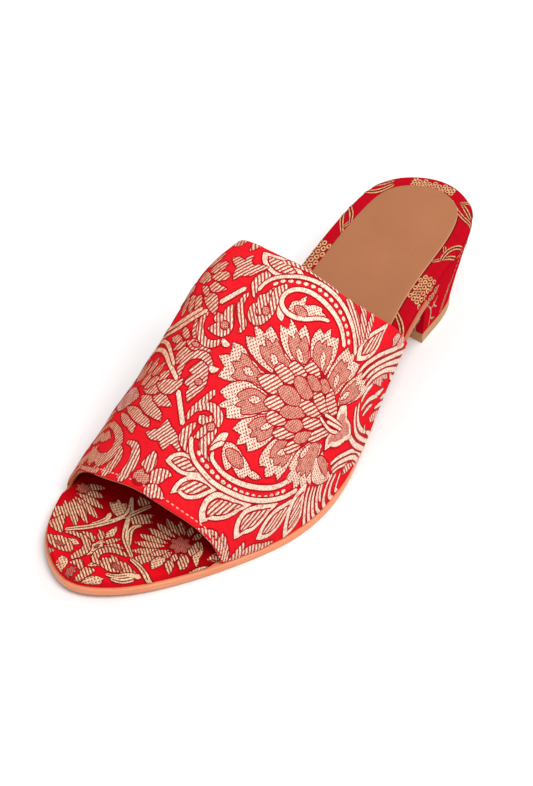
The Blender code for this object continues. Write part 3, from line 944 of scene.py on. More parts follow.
barredPetals = (
    # corners of the outer ring's barred petals; two that touch are never both odd or even
    ((26.6, 84.2), (28.2, 83.7), (30.8, 84.5), (32.8, 86), (34.8, 88.4), (33, 88.9), (30, 88),
    (27.4, 87.3), (26.4, 85.8)),
    ((32.2, 82), (34.8, 82.2), (37.6, 84.2), (39.4, 86), (40.8, 88.4), (38, 87.4), (35, 86.4), (33, 85)),
    ((40.2, 81.6), (42.2, 82.1), (44.2, 84.6), (45.4, 87.6), (44.2, 88.2), (41.4, 86.6), (40.3, 84.4)),
    ((22.8, 87.4), (25.8, 87.3), (27.2, 88.1), (29.8, 89.6), (30.2, 91.6), (29.4, 92.7), (26.6, 92.7),
    (24.6, 91.4), (23.4, 89.8)),
    ((15.4, 92.6), (17.6, 91.5), (20.6, 91.1), (23.6, 91.8), (25.8, 93.2), (25, 94.6), (25.7, 96.4),
    (24.4, 97.5), (20.8, 97), (18.4, 95.4), (16.4, 94)),
    ((19.6, 98.8), (22, 98.2), (25, 97.9), (27.4, 98.6), (29, 100), (28, 101.7), (24.8, 101.9),
    (20.4, 101.4)),
    ((24.4, 102.9), (27.4, 102.1), (29.6, 103.3), (32.6, 104.3), (32.2, 105.9), (28, 106.1), (25, 105.4)),
    ((30.4, 106.6), (33, 107), (36.6, 108.2), (38, 109.2), (36, 110.5), (31.4, 110.3)),
)

rosePetals = (
    # corners of the rose petals inside that ring
    ((30.3, 89.1), (33, 89.5), (35.4, 91), (38, 93.4), (40, 95.7), (37, 95.9), (34, 94.8), (31.6, 92.8),
    (30.4, 91)),
    ((35.1, 87.1), (37.6, 87.6), (39.8, 88.9), (41.2, 91), (41.8, 92.6), (40.4, 93.1), (38.6, 92.6),
    (36.6, 91), (35.1, 89)),
    ((41.3, 87), (43.2, 87.3), (45.8, 89.8), (46.3, 91.6), (46.6, 94.2), (44.8, 93), (42.6, 91), (41.1, 89)),
    ((24.8, 94.2), (27.6, 93.2), (31, 93.6), (33.8, 94.9), (35.4, 96.4), (34.6, 98.3), (31.6, 98.7),
    (28.8, 98.2), (26, 96.4)),
    ((28.9, 101.3), (29.9, 100.1), (32.6, 99.4), (36.2, 99.5), (38.2, 100.8), (39, 102.7), (36, 103.6),
    (32.2, 104), (29.6, 102.9)),
    ((33.3, 105.4), (34.8, 104.5), (38.2, 104.2), (40, 105.4), (41.2, 106.9), (38.8, 107.7), (36.4, 107.7),
    (34, 106.6)),
    ((39.1, 108.8), (40.4, 107.3), (43, 106.9), (44.5, 108.4), (44.2, 110.1), (40.6, 110.3)),
)

heartPetals = (
    # corners of the long petals next to the bell
    ((46.8, 91.7), (48.8, 92.5), (50.8, 94.6), (52.6, 97.4), (54.7, 100), (55.1, 101.3), (52.6, 100.3),
    (50, 98.8), (48.2, 96.2), (46.9, 94)),
    ((40.4, 93.1), (42.6, 93.2), (45, 94.4), (47, 96.2), (48.6, 98.6), (49.9, 100.1), (46.8, 99.8),
    (44.4, 98.4), (42, 96.4), (40.8, 95)),
    ((34.9, 96.8), (38, 96.3), (41, 96.9), (43.6, 98.3), (46.2, 100.2), (47.6, 100.9), (44.6, 100.9),
    (41.6, 101.1), (38.6, 100.2), (36.4, 98.8), (34.6, 98)),
    ((39.2, 103.6), (40.6, 102.3), (43.6, 101.7), (46.4, 102.1), (48.8, 103.6), (49.6, 104.4), (46.6, 105),
    (44, 106), (42, 106), (39.8, 105)),
    ((44.6, 109), (45.2, 106.6), (47.4, 105.3), (50.2, 104.9), (52.8, 106), (53.8, 107.2), (52, 108.7),
    (49.4, 109.3), (47, 110.3), (44.8, 110.3)),
)

bell = (
    # corners of the bell at the lotus's foot
    (55.2, 98.2), (57.6, 96), (59.4, 99), (64.2, 102.8), (66.6, 106.6), (69.4, 109.9), (65.4, 111.7),
    (60.2, 111), (56.4, 113), (53.6, 110.2), (54.6, 106.6), (59.6, 106.4), (58.2, 103.6), (55.6, 101.6),
)

anthers = (
    # points of the pale lines that stand out of the bell
    ((46.5, 100.4), (51, 100.7), (55, 101.8), (59, 104.2)),
    ((50.5, 101.9), (55, 104), (60.5, 106.4)),
    ((48, 102.6), (53, 104.7), (60, 107)),
)

weftRibbons = (
    # points of a ribbon barred along the weft, then its widths
    (((0.4, 65.6), (0.6, 69.4), (2, 74), (4, 79.8)), (1.4, 2.6, 2.6, 2)),
    (((12.4, 69.4), (11.4, 72.2), (7.8, 74.2), (4, 73.2), (2.2, 70.4)), (2.4, 3.2, 3.2, 2.6, 1.2)),
    (((-16, 102.4), (-16.8, 98.6), (-14.8, 94.8), (-10.8, 92.6), (-6.8, 93.6), (-4.6, 95.8)),
    (1.2, 2.4, 2.8, 2.8, 2.6, 1.6)),
    (((-0.4, 101), (0.4, 103.6), (-3, 106.6), (-5.2, 110.6), (-4.8, 114.8)), (1.2, 2.6, 2.6, 2.4, 1.4)),
    (((0.6, 113.2), (0.2, 110), (3.4, 107.6), (6.4, 110.4), (6.9, 114.6), (5.6, 119), (6.6, 125.4)),
    (1.8, 2.8, 3, 3, 3.2, 4.4, 1)),
    (((-16.6, 50.6), (-12, 50.4), (-8.6, 47.4), (-7, 43.2), (-7.6, 36.6)), (1, 2.4, 3.8, 4.4, 4)),
    (((-17.8, 48.8), (-15.6, 45.8), (-15.2, 41.6), (-17, 36.8)), (0.6, 3.2, 4.6, 4.4)),
    (((45, 129.6), (38, 133.6), (27, 137.4)), (1.8, 3.2, 2.2)),
    (((45.2, 131.8), (40, 136.4), (33, 141.4)), (1.4, 3.2, 2)),
    (((45.6, 134.4), (42.6, 138.8), (40, 144)), (1.2, 2.8, 1.8)),
    (((-2, 131.8), (4, 134), (12, 135.4), (24, 136)), (1.2, 2.6, 2.6, 1.6)),
)

crossRibbons = (
    # the same, barred across
    (((-12.4, 77), (-14.4, 80.6), (-13.8, 84.8), (-10.8, 87.6), (-6.6, 88), (-3, 86.2)),
    (1.4, 2.4, 2.6, 2.8, 2.8, 1.6)),
    (((-36.4, 48.8), (-31.6, 44.6), (-26, 42.2), (-21, 43.8), (-20, 48.6), (-24.5, 53.6), (-34, 57.6)),
    (0.8, 4.8, 6.2, 5, 3.2, 2.4, 2.2)),
    (((-34, 53.4), (-31, 52), (-27, 51.4)), (4.2, 4.2, 0.8)),
    (((-34, 40.4), (-28, 39.4), (-20, 38.2)), (2, 3, 2)),
)

stems = (
    # points of a plain stem, then its widths
    (((0.9, 63.5), (-4.4, 68.4), (-9.8, 73.5)), (1.7, 1.7)),
    (((-13.4, 106.8), (-10, 111.4), (-6.6, 116.2)), (1.7, 1.7)),
    (((-34, 86.6), (-27, 85.2), (-20, 81), (-12.6, 76.6)), (1.5, 1.6, 1.4)),
    (((-34, 90.2), (-27, 88), (-21.6, 84.2), (-17.4, 80.8)), (1.3, 1.4, 1)),
    (((-34, 91.8), (-26.6, 94), (-21, 98.6), (-16.6, 103)), (1.5, 1.6, 1.4)),
    (((-34, 94.6), (-27.4, 96.2), (-22.6, 99.6), (-19, 103)), (1.6, 1.8, 1.2)),
    (((-4.8, 96.4), (-2.8, 95.4), (-0.8, 95.8)), (1.2, 2.2, 1)),
    (((-3.6, 86), (-1.4, 85.4), (0.4, 86.8)), (1.4, 2.4, 0.8)),
    (((15.6, 61.8), (16.5, 64.4), (18.4, 67.2)), (1, 1.6, 1.4)),
    (((6.6, 61.8), (9.4, 58.4), (13, 56), (18, 54.8), (24, 54.6), (29, 55.7), (34, 57.6), (39, 60.1),
    (44, 63.6), (49, 68.2), (53, 73), (56.4, 78.8)), (1.4, 1.5, 1.5)),
    (((17, 62.4), (17.8, 60.6), (20.6, 59.5), (25, 59.2), (30, 60.3), (35, 62.5), (40, 65.7), (44, 69),
    (47, 72.2), (49.8, 76.8)), (1.2, 1.6, 1.6, 1.6)),
    (((-1.8, 117), (-1.6, 120), (0, 123.8), (3.4, 127.2), (8, 130.4), (13, 132.4), (19, 133.6),
    (26, 133.8), (32, 133), (38, 131.2), (42.6, 128.9), (46, 126.4)), (1.3, 1.5, 1.5)),
    (((28.4, 125.6), (24.6, 123.4), (21.6, 120.4), (18.6, 118.2), (14.4, 116.7), (10.4, 117.2),
    (8.2, 119.6), (8.3, 122.8), (10.2, 125.6), (13.4, 127.5), (18, 128.7), (24, 129), (30, 128.5),
    (35, 127), (40, 124)), (1.2, 1.6, 1.7, 1.7, 1.6)),
)

beadRows = (
    # points of a row of beads
    ((11.6, 59.4), (16, 57.5), (22, 56.9), (28, 57.3), (34, 59.2), (40, 62.2), (45, 65.8), (49, 70.6),
    (52, 75)),
    ((1.6, 121.6), (3.4, 124.8), (7, 127.4), (11, 129.3), (16, 131), (23, 131.6), (30, 131), (35.6, 129.4),
    (41.6, 126)),
)

weftPatches = (
    # corners of a patch whose bars follow the weft
    ((-12.8, 97.3), (-9, 96.5), (-5.6, 96.9), (-3.4, 99.4), (-3.8, 102.8), (-6, 105.4), (-7.6, 108.9),
    (-9.9, 106.4), (-9.2, 103.6), (-12, 103.6), (-12.4, 101.2), (-10.4, 100.2)),
    ((-6.2, 119.6), (-5, 116.8), (-1.8, 114.3), (-2.5, 118), (-2.1, 121), (-1.5, 124.8), (-4, 125.5),
    (-5.7, 122.8)),
    ((1, 111), (4, 109.8), (4.9, 114), (4.4, 118.6), (2.8, 121.6), (1.8, 117.8), (-0.6, 115.8),
    (0.6, 113.6)),
    ((1.6, 61.4), (3.4, 58.4), (6.4, 57), (9.6, 56.4), (6.8, 58.8), (5.5, 62), (4.9, 66.9), (3, 65.2)),
    ((18, 58.8), (12.8, 59.4), (10.2, 61.8), (10.9, 66), (12.8, 69.4), (14, 66), (13.8, 62.4), (15.2, 60.4)),
    ((7.5, 62), (9.4, 62.8), (10.5, 66.2), (10.3, 69.6), (8.6, 68.4), (7.4, 65.4)),
    ((4, 69.3), (5.5, 67.1), (8.4, 68), (10, 71), (9, 72.8), (7.2, 70.4), (5.6, 70.4)),
    ((2.2, 44.4), (5, 41), (8, 42.4), (8.9, 45.4), (10, 47), (7.4, 47.8), (4, 46.6)),
    ((-3.5, 45.3), (-1.2, 44.5), (1.6, 43.4), (2.2, 46.5), (0.7, 49.4), (-2.3, 51.2), (-3.2, 48.4)),
    ((4.4, 39.8), (5.2, 36.8), (9, 36.4), (10.4, 38), (13.2, 38.9), (10.8, 40.8), (7.4, 41.6)),
    ((30.6, 40.2), (34.4, 43), (38.4, 45.4), (41.6, 45.4), (41.3, 47.2), (47, 47.2), (56, 45.9),
    (50, 43.2), (42, 41.4), (35, 39.4)),
    ((55.7, 46.4), (53.7, 49.4), (53, 53.2), (56.6, 52), (58, 55.8), (61.6, 59.2), (67, 64.4), (62, 54)),
    ((-27, 133), (-24.8, 130.2), (-22, 130.9), (-21.2, 133.6), (-23.6, 135.5)),
    ((-18.2, 134), (-16.4, 129.8), (-14, 134)),
    ((64.4, 130.8), (67, 133.4), (70.6, 135.8), (74, 138.4), (70.6, 139.6), (76.8, 144.8), (72, 143.6),
    (68, 139.8)),
    ((61.6, 151), (64.6, 150), (67, 153), (68.6, 158), (63.6, 155.4)),
    ((69.4, 155), (72.4, 155), (76.4, 160), (77.4, 165), (72, 161.4)),
    ((78.6, 104.6), (81, 103.2), (84.6, 107), (86.6, 110.6), (82.4, 108.6)),
    ((80, 127.4), (83, 127.6), (86.6, 131.6), (91, 134), (86.6, 136.4), (82.6, 132.6)),
)

crossPatches = (
    # corners of a patch whose bars cross it
    ((-10.9, 55.8), (-7, 54.3), (-3, 55.2), (-2.2, 54), (0.6, 52.8), (0.2, 55.6), (2, 56.2), (6.8, 55.2),
    (3.6, 58), (0, 60.2), (-3, 61), (-6.2, 62.8), (-6.4, 60), (-4.4, 58.6), (-7.4, 58.4)),
    ((-20.2, 124.4), (-17.4, 122.2), (-14.6, 121.6), (-14.8, 118.6), (-13.6, 116.6), (-12, 119.2),
    (-8.6, 120.8), (-6.8, 124), (-4.8, 127.2), (-8.6, 126.4), (-10.6, 125), (-12.8, 126.4), (-13.4, 128.8),
    (-15, 127), (-14.6, 125.2), (-18, 125.8)),
    ((-3.2, 71.2), (-2.2, 75), (-0.8, 79), (-2.6, 83.4), (-4.6, 86.4), (-8, 86), (-9.8, 83.6),
    (-10.6, 81.4), (-8, 80.6), (-9.3, 78.4), (-8.7, 76.2), (-6.2, 76.6), (-6, 73.8)),
    ((-31, 61.4), (-26, 57.6), (-21.4, 56), (-17, 54.2), (-17.8, 57), (-22.6, 58.8), (-28, 61)),
    ((-30, 63.8), (-24, 60.4), (-17.6, 58.2), (-11.3, 57.6), (-13, 60), (-18, 61.4), (-24, 63.8)),
    ((-24, 65.6), (-18.8, 62.8), (-14, 61.6), (-8.6, 61.4), (-10, 63.6), (-13.6, 65.2), (-18.6, 66.8)),
    ((-19.2, 67.8), (-15.4, 65.7), (-11.6, 66.4), (-8.2, 67.5), (-11, 69), (-15, 70.5)),
    ((-25, 68.2), (-21.4, 64.6), (-18, 64.4), (-17.4, 66.6), (-19.6, 68.4)),
    ((-26.4, 70.6), (-22, 69), (-18.6, 69.6), (-16, 71.8), (-19.6, 72.6), (-23.4, 72.2)),
    ((-20.4, 73.2), (-16.5, 70.9), (-13.4, 70.5), (-10.9, 72.2), (-9.8, 75), (-10.6, 77.8), (-13, 76),
    (-17, 75.6)),
    ((-22, 74.8), (-19, 74.6), (-17.6, 77.4), (-18.2, 79.2), (-20.4, 78)),
    ((-26.6, 71.2), (-24, 71), (-21, 73.8), (-21.4, 75.8), (-24, 75.4)),
    ((-26.4, 76.2), (-24, 75.8), (-22.4, 78.4), (-22.5, 81.2), (-24.8, 79.8)),
    ((-30, 72.4), (-27.4, 72.2), (-26.2, 75), (-27.4, 77.2), (-29.4, 75.4)),
    ((-29.6, 76.8), (-27.2, 77.4), (-26.6, 80.4), (-28, 83.2), (-29.6, 80.4)),
    ((-34, 74.4), (-31.4, 75), (-30.8, 79), (-32, 82.4), (-34, 79)),
    ((-19, 83), (-17, 81.6), (-15, 84.6), (-14.3, 87.7), (-17.6, 88.3), (-19.2, 86)),
    ((-22.8, 86), (-20.4, 86.4), (-18, 89), (-18.6, 90.2), (-21.6, 89)),
    ((-27, 90.6), (-24.6, 89), (-21, 88.9), (-20.8, 90.4), (-24, 92)),
    ((-23.2, 95), (-22.4, 92.4), (-19.4, 91), (-18.2, 92.2), (-20.6, 94.4)),
    ((-19.6, 99), (-19, 95.2), (-16.6, 92.3), (-15, 92.8), (-16.4, 96.4)),
    ((-18.2, 90.3), (-14.8, 88.3), (-10.4, 88.9), (-6, 90.6), (-10.6, 91.4), (-14, 92.6)),
    ((-21.2, 106.8), (-18.4, 104.4), (-15.4, 103.1), (-12.9, 102.6), (-13.6, 106), (-16.2, 108.9),
    (-18.6, 108.9)),
    ((-24.4, 110.4), (-23, 108.4), (-20, 107.2), (-20.2, 109.2), (-22, 110.6)),
    ((-21.5, 110.6), (-18.4, 109.5), (-15.6, 110.6), (-13.8, 112.4), (-17, 112.6), (-19.8, 113.2)),
    ((-23, 114.4), (-19.4, 113.7), (-16.3, 115.5), (-15.9, 117.8), (-18, 118.3), (-20.6, 117.2)),
    ((-25.4, 116.4), (-22.4, 116.1), (-20.2, 118.4), (-19.7, 121.4), (-21.6, 122.2), (-24.2, 120.5)),
    ((-28.4, 118.6), (-26, 119), (-24.6, 122.4), (-25.2, 126), (-27.6, 123.6)),
    ((-28.6, 112.4), (-25, 111.4), (-22.2, 113.2), (-25, 115.8), (-28, 116.4)),
    ((-24.8, 106.2), (-22.6, 101.8), (-20.2, 100.6), (-20.6, 104), (-22.6, 107)),
    ((-27.8, 106.4), (-26, 101.4), (-23.8, 99.8), (-24.4, 104), (-26, 106.8)),
    ((-30.6, 106), (-29.6, 100.6), (-27.8, 98.8), (-27.6, 103), (-28.8, 106.4)),
)

hearts = (
    # middle across, back, half length, width of a rose patch
    (-4, 79.2, 1.5, 2.2), (-6.8, 100.9, 1.7, 2.6), (5.4, 112.6, 1.6, 2.8), (10.6, 68.4, 1.5, 3),
    (-13.8, 90.4, 1.7, 1.6), (25.2, 65.8, 4.6, 4.2), (17.4, 120.2, 3.2, 3.2),
)

middleHearts = (
    # corners of a rose patch cut by the line about which the design repeats
    ((-34.1, 62.6), (-31.4, 63.2), (-29, 64.8), (-27.6, 66), (-26, 67.6), (-27.6, 69.2), (-29.2, 70),
    (-31.6, 71.6), (-34.1, 72)),
    ((-34.1, 104.4), (-31.6, 105), (-29.4, 106.6), (-28, 108.6), (-29.2, 110.8), (-31.4, 112),
    (-34.1, 112.6)),
)

toeHeart = (
    # corners of the rose patch at the toe edge
    (-3.6, 41.6), (-2.4, 39.2), (0.4, 38.2), (3.4, 39.6), (4.2, 41.4), (2.4, 43.2), (0.4, 42.8),
    (-1.4, 44.2),
)

innerSprays = (
    # base, tip and width of the leaves near the heel edge over the foot's inner side
    ((-46, 127.4), (-53, 121.8), 3.4),
    ((-46.5, 129.2), (-56, 127.2), 3.6),
    ((-46.5, 131.4), (-56, 132.8), 3.6),
    ((-45.4, 133), (-52.6, 138.4), 3.4),
    ((-43.4, 133.4), (-45.6, 139.6), 3),
    ((-42, 128.4), (-43.4, 121.6), 3.2),
    ((-60, 139.6), (-65.4, 133.8), 3.2),
    ((-61, 141.8), (-69, 139.4), 3.4),
    ((-60.4, 144), (-66.8, 146.2), 3.2),
    ((-34, 114.4), (-34, 122.6), 3.4),
    ((-35.4, 115.4), (-39.6, 121), 3),
    ((-32.6, 115.4), (-29.4, 120.4), 2.6),
    ((-34, 124), (-34, 131.4), 3),
    ((-35.2, 125.4), (-39, 131.6), 2.8),
    ((-32.8, 125.4), (-29.6, 130.6), 2.8),
)

buds = (
    # corners of the two buds inside the curls
    ((19, 68), (19.3, 65), (21.2, 62.8), (25.3, 60.6), (26.4, 63.2), (31.4, 62.4), (33.2, 63.8),
    (33.2, 65.2), (36.4, 66), (38.9, 68.6), (33, 67.3), (27, 68.5), (22, 69.1)),
    ((12.6, 118), (12.1, 121), (14, 123), (15.3, 126.2), (16.4, 123.6), (17.6, 123.4), (19.4, 125.4),
    (22.8, 126.8), (23.6, 125.8), (28.6, 125.4), (25, 123.9), (22, 121.2), (19, 118.9), (15.6, 117.5)),
)

sideLeaf = (
    # corners of the leaf beside the lotus
    (55.2, 91.6), (57, 88), (60.6, 86), (64.6, 87.4), (68, 90.6), (71, 95.6), (66.4, 94.8), (64, 96),
    (60.6, 94.6), (57.4, 95.4), (57.2, 93),
)

sweeps = (
    # points of the side's long acanthus ribs, then their widths
    (((61.6, 84.4), (63.6, 81.8), (67.4, 80), (72.4, 79), (80, 78.8)), (1.4, 1.7, 1.7, 1.7)),
    (((63.6, 86), (65.8, 83.4), (69.6, 81.8), (74.6, 81.2), (82, 82)), (1.2, 1.7, 1.7, 1.6)),
    (((65.4, 87.4), (67.8, 85), (71.4, 83.8), (76, 83.6), (82, 85)), (1.2, 1.7, 1.7, 1.6)),
    (((67, 89.2), (69.4, 87), (72.6, 86), (76.6, 86), (82, 88)), (1.2, 1.7, 1.7, 1.4)),
    (((67.6, 92), (69.4, 89.6), (72, 88.2), (75.6, 88.4)), (1.2, 1.7, 1.7, 1)),
    (((84, 91.4), (80, 90.2), (75.6, 90.6), (72.4, 93), (71.4, 97)), (1.8, 2, 2, 1.8)),
    (((85, 96.4), (81.6, 94.4), (78, 94), (75.2, 95.8), (74.3, 99.2)), (1.8, 2, 2, 1.6)),
    (((85, 99.6), (82, 98), (79.8, 99.2), (77.4, 101.8)), (1.6, 1.8, 1.6)),
    (((66.3, 97), (68.6, 100.8), (72.6, 105.4), (78, 110.4), (88, 116.4), (95, 119)), (1.4, 1.8, 2, 2)),
    (((68.8, 96.6), (71, 100.4), (75.4, 105.2), (81, 110), (88, 114.2), (95, 116.6)), (1.4, 1.8, 2, 2)),
    (((71, 97), (73.4, 101), (77.6, 105), (83, 110), (89, 113), (95, 114.6)), (1.4, 1.8, 1.8, 1.8)),
    (((69.2, 110.2), (74, 111.6), (80, 114.2), (87, 118.2), (94, 122.4)), (2.2, 2.4, 2.2)),
    (((76, 111.4), (82, 113.2), (88, 117), (95, 120.6)), (1, 1.6, 1.6)),
    (((62.8, 118.2), (65.8, 115.6), (70.6, 114.4), (76.6, 115.8), (83, 119.2), (92, 125)),
    (1.2, 1.8, 2, 2, 2)),
    (((63.6, 120.6), (67, 118), (72, 117.4), (78, 119.4), (83, 122)), (1.2, 2.2, 2.2, 1.2)),
    (((84, 123.4), (88, 126), (94, 129)), (1.2, 2.6, 1.6)),
    (((53.4, 123.6), (53.2, 128), (54.6, 133), (57.6, 139), (62, 145), (67, 150.4), (72, 155.4),
    (79, 162)), (1.4, 2, 2, 2, 2)),
    (((56, 124.8), (56.4, 129), (58.4, 134.4), (62, 140.4), (66.6, 146.2), (72, 151.8), (78.4, 157.8),
    (85, 164)), (1.4, 1.9, 1.9, 2, 2)),
    (((58.8, 125.6), (59.4, 130), (61.8, 135.6), (65.8, 141.4), (71, 147.2), (77, 152.6), (84, 159)),
    (1.4, 2, 2, 2.2, 2.2)),
    (((61.6, 126.4), (62.4, 131), (65, 136.4), (69, 141.8), (74.4, 147), (80.4, 151.8), (87, 157)),
    (1.6, 2.1, 2.2, 2.4, 2.2)),
    (((65, 121.4), (64, 126), (65.6, 131.4)), (1.4, 2.6, 1.6)),
    (((77.6, 147.8), (81.4, 149), (85.6, 152), (90, 155)), (1, 2.4, 2.4, 2)),
    (((68.4, 120.6), (69.2, 126), (72.2, 130.8), (76.4, 134.8)), (1.4, 2.2, 2.4, 1)),
    (((71.8, 121), (72.8, 125.6), (75, 129.6)), (1.2, 2.2, 1)),
    (((72.6, 133), (76, 136.6), (78.4, 141)), (1, 2.6, 1)),
    (((79.6, 131.6), (82.6, 136), (86.4, 140), (91, 143)), (1, 2.4, 2.4, 1.4)),
    (((80.6, 137.4), (83.6, 141.4), (88, 145.4)), (1, 2.4, 1.4)),
    (((78.4, 122.6), (80.6, 121.4), (83.6, 123)), (0.8, 2.2, 1)),
)

relief = {
    # height of the brocade's layers over the cloth
    "ground": 0.05,
    "petal": 0.06,
    "sideLeaf": 0.11,
    "ribbon": 0.18,
    "stem": 0.24,
    "heart": 0.26,
    "lotusGround": 0.28,
    "lotusBarred": 0.34,
    "lotusRose": 0.48,
    "bell": 0.6,
    "anther": 0.74,
    "petalStep": 0.07,  # between neighbouring petals
}

roseWeave = {"tone": "rose", "bars": "speck", "pitch": 0.8}


def chartBand():
    cloth, step = Cloth(bandWeft), relief["petalStep"]
    for order, (points, widths) in enumerate(sweeps):
        cloth.ribbon(points, np.array(widths) * 0.8, levelOf(order, relief["ground"]), edge=0.75)
    for bars, group in (("weft", weftPatches), ("cross", crossPatches)):
        for order, corners in enumerate(group):
            cloth.patch(corners, levelOf(order, relief["ground"]), bars=bars, pitch=1.35, inset=0)
    for bars, group in (("weft", weftRibbons), ("cross", crossRibbons)):
        for points, widths in group:
            cloth.ribbon(points, widths, relief["ribbon"], bars=bars, pitch=1.35)
    for order, (points, widths) in enumerate(stems):
        cloth.ribbon(points, widths, levelOf(order, relief["stem"]))
    for points in beadRows:
        cloth.beads(points, (2.1, 1.35), 2.95)
    for corners in rimmedLeaves:
        cloth.rimmedLeaf(corners)
    for corners in buds:
        cloth.patch(corners, relief["ribbon"], bars="speck", pitch=1.0)
    cloth.patch(sideLeaf, relief["sideLeaf"], bars="speck", pitch=1.1)
    cloth.leaf((56.6, 92), (67.4, 93.2), 3.4, 0.08, relief["ribbon"], point=0.6, **roseWeave)
    cloth.leaf((14.7, 63.2), (17.5, 70.6), 2.9, bars=None, swell=1.5)
    cloth.leaf((7.6, 118.2), (13, 113), 2.9, bars=None, swell=1.4)
    for order, (corners, base, eye) in enumerate(lotusPetals):
        cloth.lobedPetal(corners, base, eye, levelOf(order, relief["petal"], step))
    cloth.patch(lotusGround, relief["lotusGround"], "outline", edge=0)
    petal = {"edge": 0.45, "inset": -0.12}
    for first, petals in ((0, barredPetals), (1, heartPetals)):
        for order, corners in enumerate(petals, first):
            level = levelOf(order, relief["lotusBarred"], step)
            cloth.patch(corners, level, bars="cross", pitch=1.3, **petal)
    for order, corners in enumerate(rosePetals):
        cloth.patch(corners, levelOf(order, relief["lotusRose"], step), **roseWeave, **petal)
    cloth.patch(bell, relief["bell"])
    cloth.patch(bell, relief["bell"] + step, "rose", "speck", 0.75, edge=0, shrink=(0.82, 0.66))
    for order, points in enumerate(anthers):
        cloth.ribbon(points, (0.9, 1.0), levelOf(order, relief["anther"]), edge=0.45)
    for order, (base, tip, width) in enumerate(innerSprays):
        cloth.leaf(base, tip, width, 0.06, levelOf(order, relief["ground"]), pitch=1.5)
    cloth.ribbon(((-37, 129), (-41, 130.4), (-45.5, 131)), (1.2, 1.5, 1.2), relief["ribbon"])
    cloth.ribbon(((-55, 146), (-57.6, 144.4), (-60.4, 142)), (1.2, 1.5, 1.2), relief["ribbon"])
    for corners in (toeHeart, *middleHearts):
        cloth.patch(corners, relief["heart"], **roseWeave)
    for across, back, reach, width in hearts:
        start, end = (across - reach, back), (across + reach, back)
        cloth.leaf(start, end, width, 0, relief["heart"], swell=1.0, point=0.5, **roseWeave)
    return cloth


repeat = {
    "mirror": -34.0,  # across: the line about which the design is mirrored
    "mirrored": -32.5,  # across: shapes with their middle outside this are mirrored
    "turn": 135.0,  # back: the line about which the mirrored corner is turned once more
    "turnedAcross": 40.0,  # that corner's shapes lie within this and behind the next
    "turnedBack": 105.0,
}


# The design repeats as its own mirror image over the foot's inner side, and is turned about
# its heel end to fill the corner behind that.
def withMirror(cloth):
    for shapes in cloth.shapes.values():
        flipped = []
        for grid, height, weave in shapes:
            across, back = grid[..., 0].mean(), grid[..., 1].mean()
            if across < repeat["mirrored"]:
                continue
            turned = grid.copy()
            turned[..., 0] = 2 * repeat["mirror"] - turned[..., 0]
            flipped.append((turned, height, weave))
            if across < repeat["turnedAcross"] and back > repeat["turnedBack"]:
                again = turned.copy()
                again[..., 1] = 2 * repeat["turn"] - again[..., 1]
                flipped.append((again, height, weave))
        shapes += flipped
    return cloth


# Lays the shapes of one tone on a surface as one joined mesh, cut off where the chart ends.
def layTone(name, shapes, surface, material, keepInside):
    points, quads, weaves, start = [], [], [], 0
    for grid, height, weave in shapes:
        grid, inside = keepInside(grid)
        if not inside:
            continue
        rows, cols = grid.shape[:2]
        down, along = np.gradient(grid, axis=0), np.gradient(grid, axis=1)
        turned = (down[..., 0] * along[..., 1] - down[..., 1] * along[..., 0]).sum() > 0
        points.append(surface(grid[..., 0], grid[..., 1], height).reshape(-1, 3))
        weaves.append(weave.reshape(-1, 2))
        flat = quadsOf(rows, cols) + start
        quads.append(flat[:, ::-1] if turned else flat)
        start += rows * cols
    points, quads, weaves = np.vstack(points), np.vstack(quads), np.vstack(weaves)
    corner = points[quads]
    diagonals = corner[:, 2] - corner[:, 0], corner[:, 3] - corner[:, 1]
    sliver = 2e-10  # twice the area in square metres below which a face is left out
    quads = quads[np.linalg.norm(np.cross(*diagonals), axis=1) > sliver]
    return makePiece(name, points, quads, [material], weave=weaves, merge=False)


# Draws a shape in to the band's edges; one that lies past them altogether is left out.
def insideBand(grid):
    across, back = grid[..., 0], grid[..., 1]
    roll = band["rimRadius"] * 0.4
    girth = np.clip(0.5 + across / girthAt(back), 0, 1)
    kept = np.clip(back, toeEdge(girth) - roll, heelEdge(girth) + roll)
    limit = girthAt(kept) / 2 - 0.7
    held = np.stack([np.clip(across, -limit, limit), kept], -1)
    return held, bool((np.abs(held - grid).max(-1) < 1e-9).any())


def finishPiece(piece, replaced=None):
    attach(piece, "root")
    if replaced:
        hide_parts(replaced)


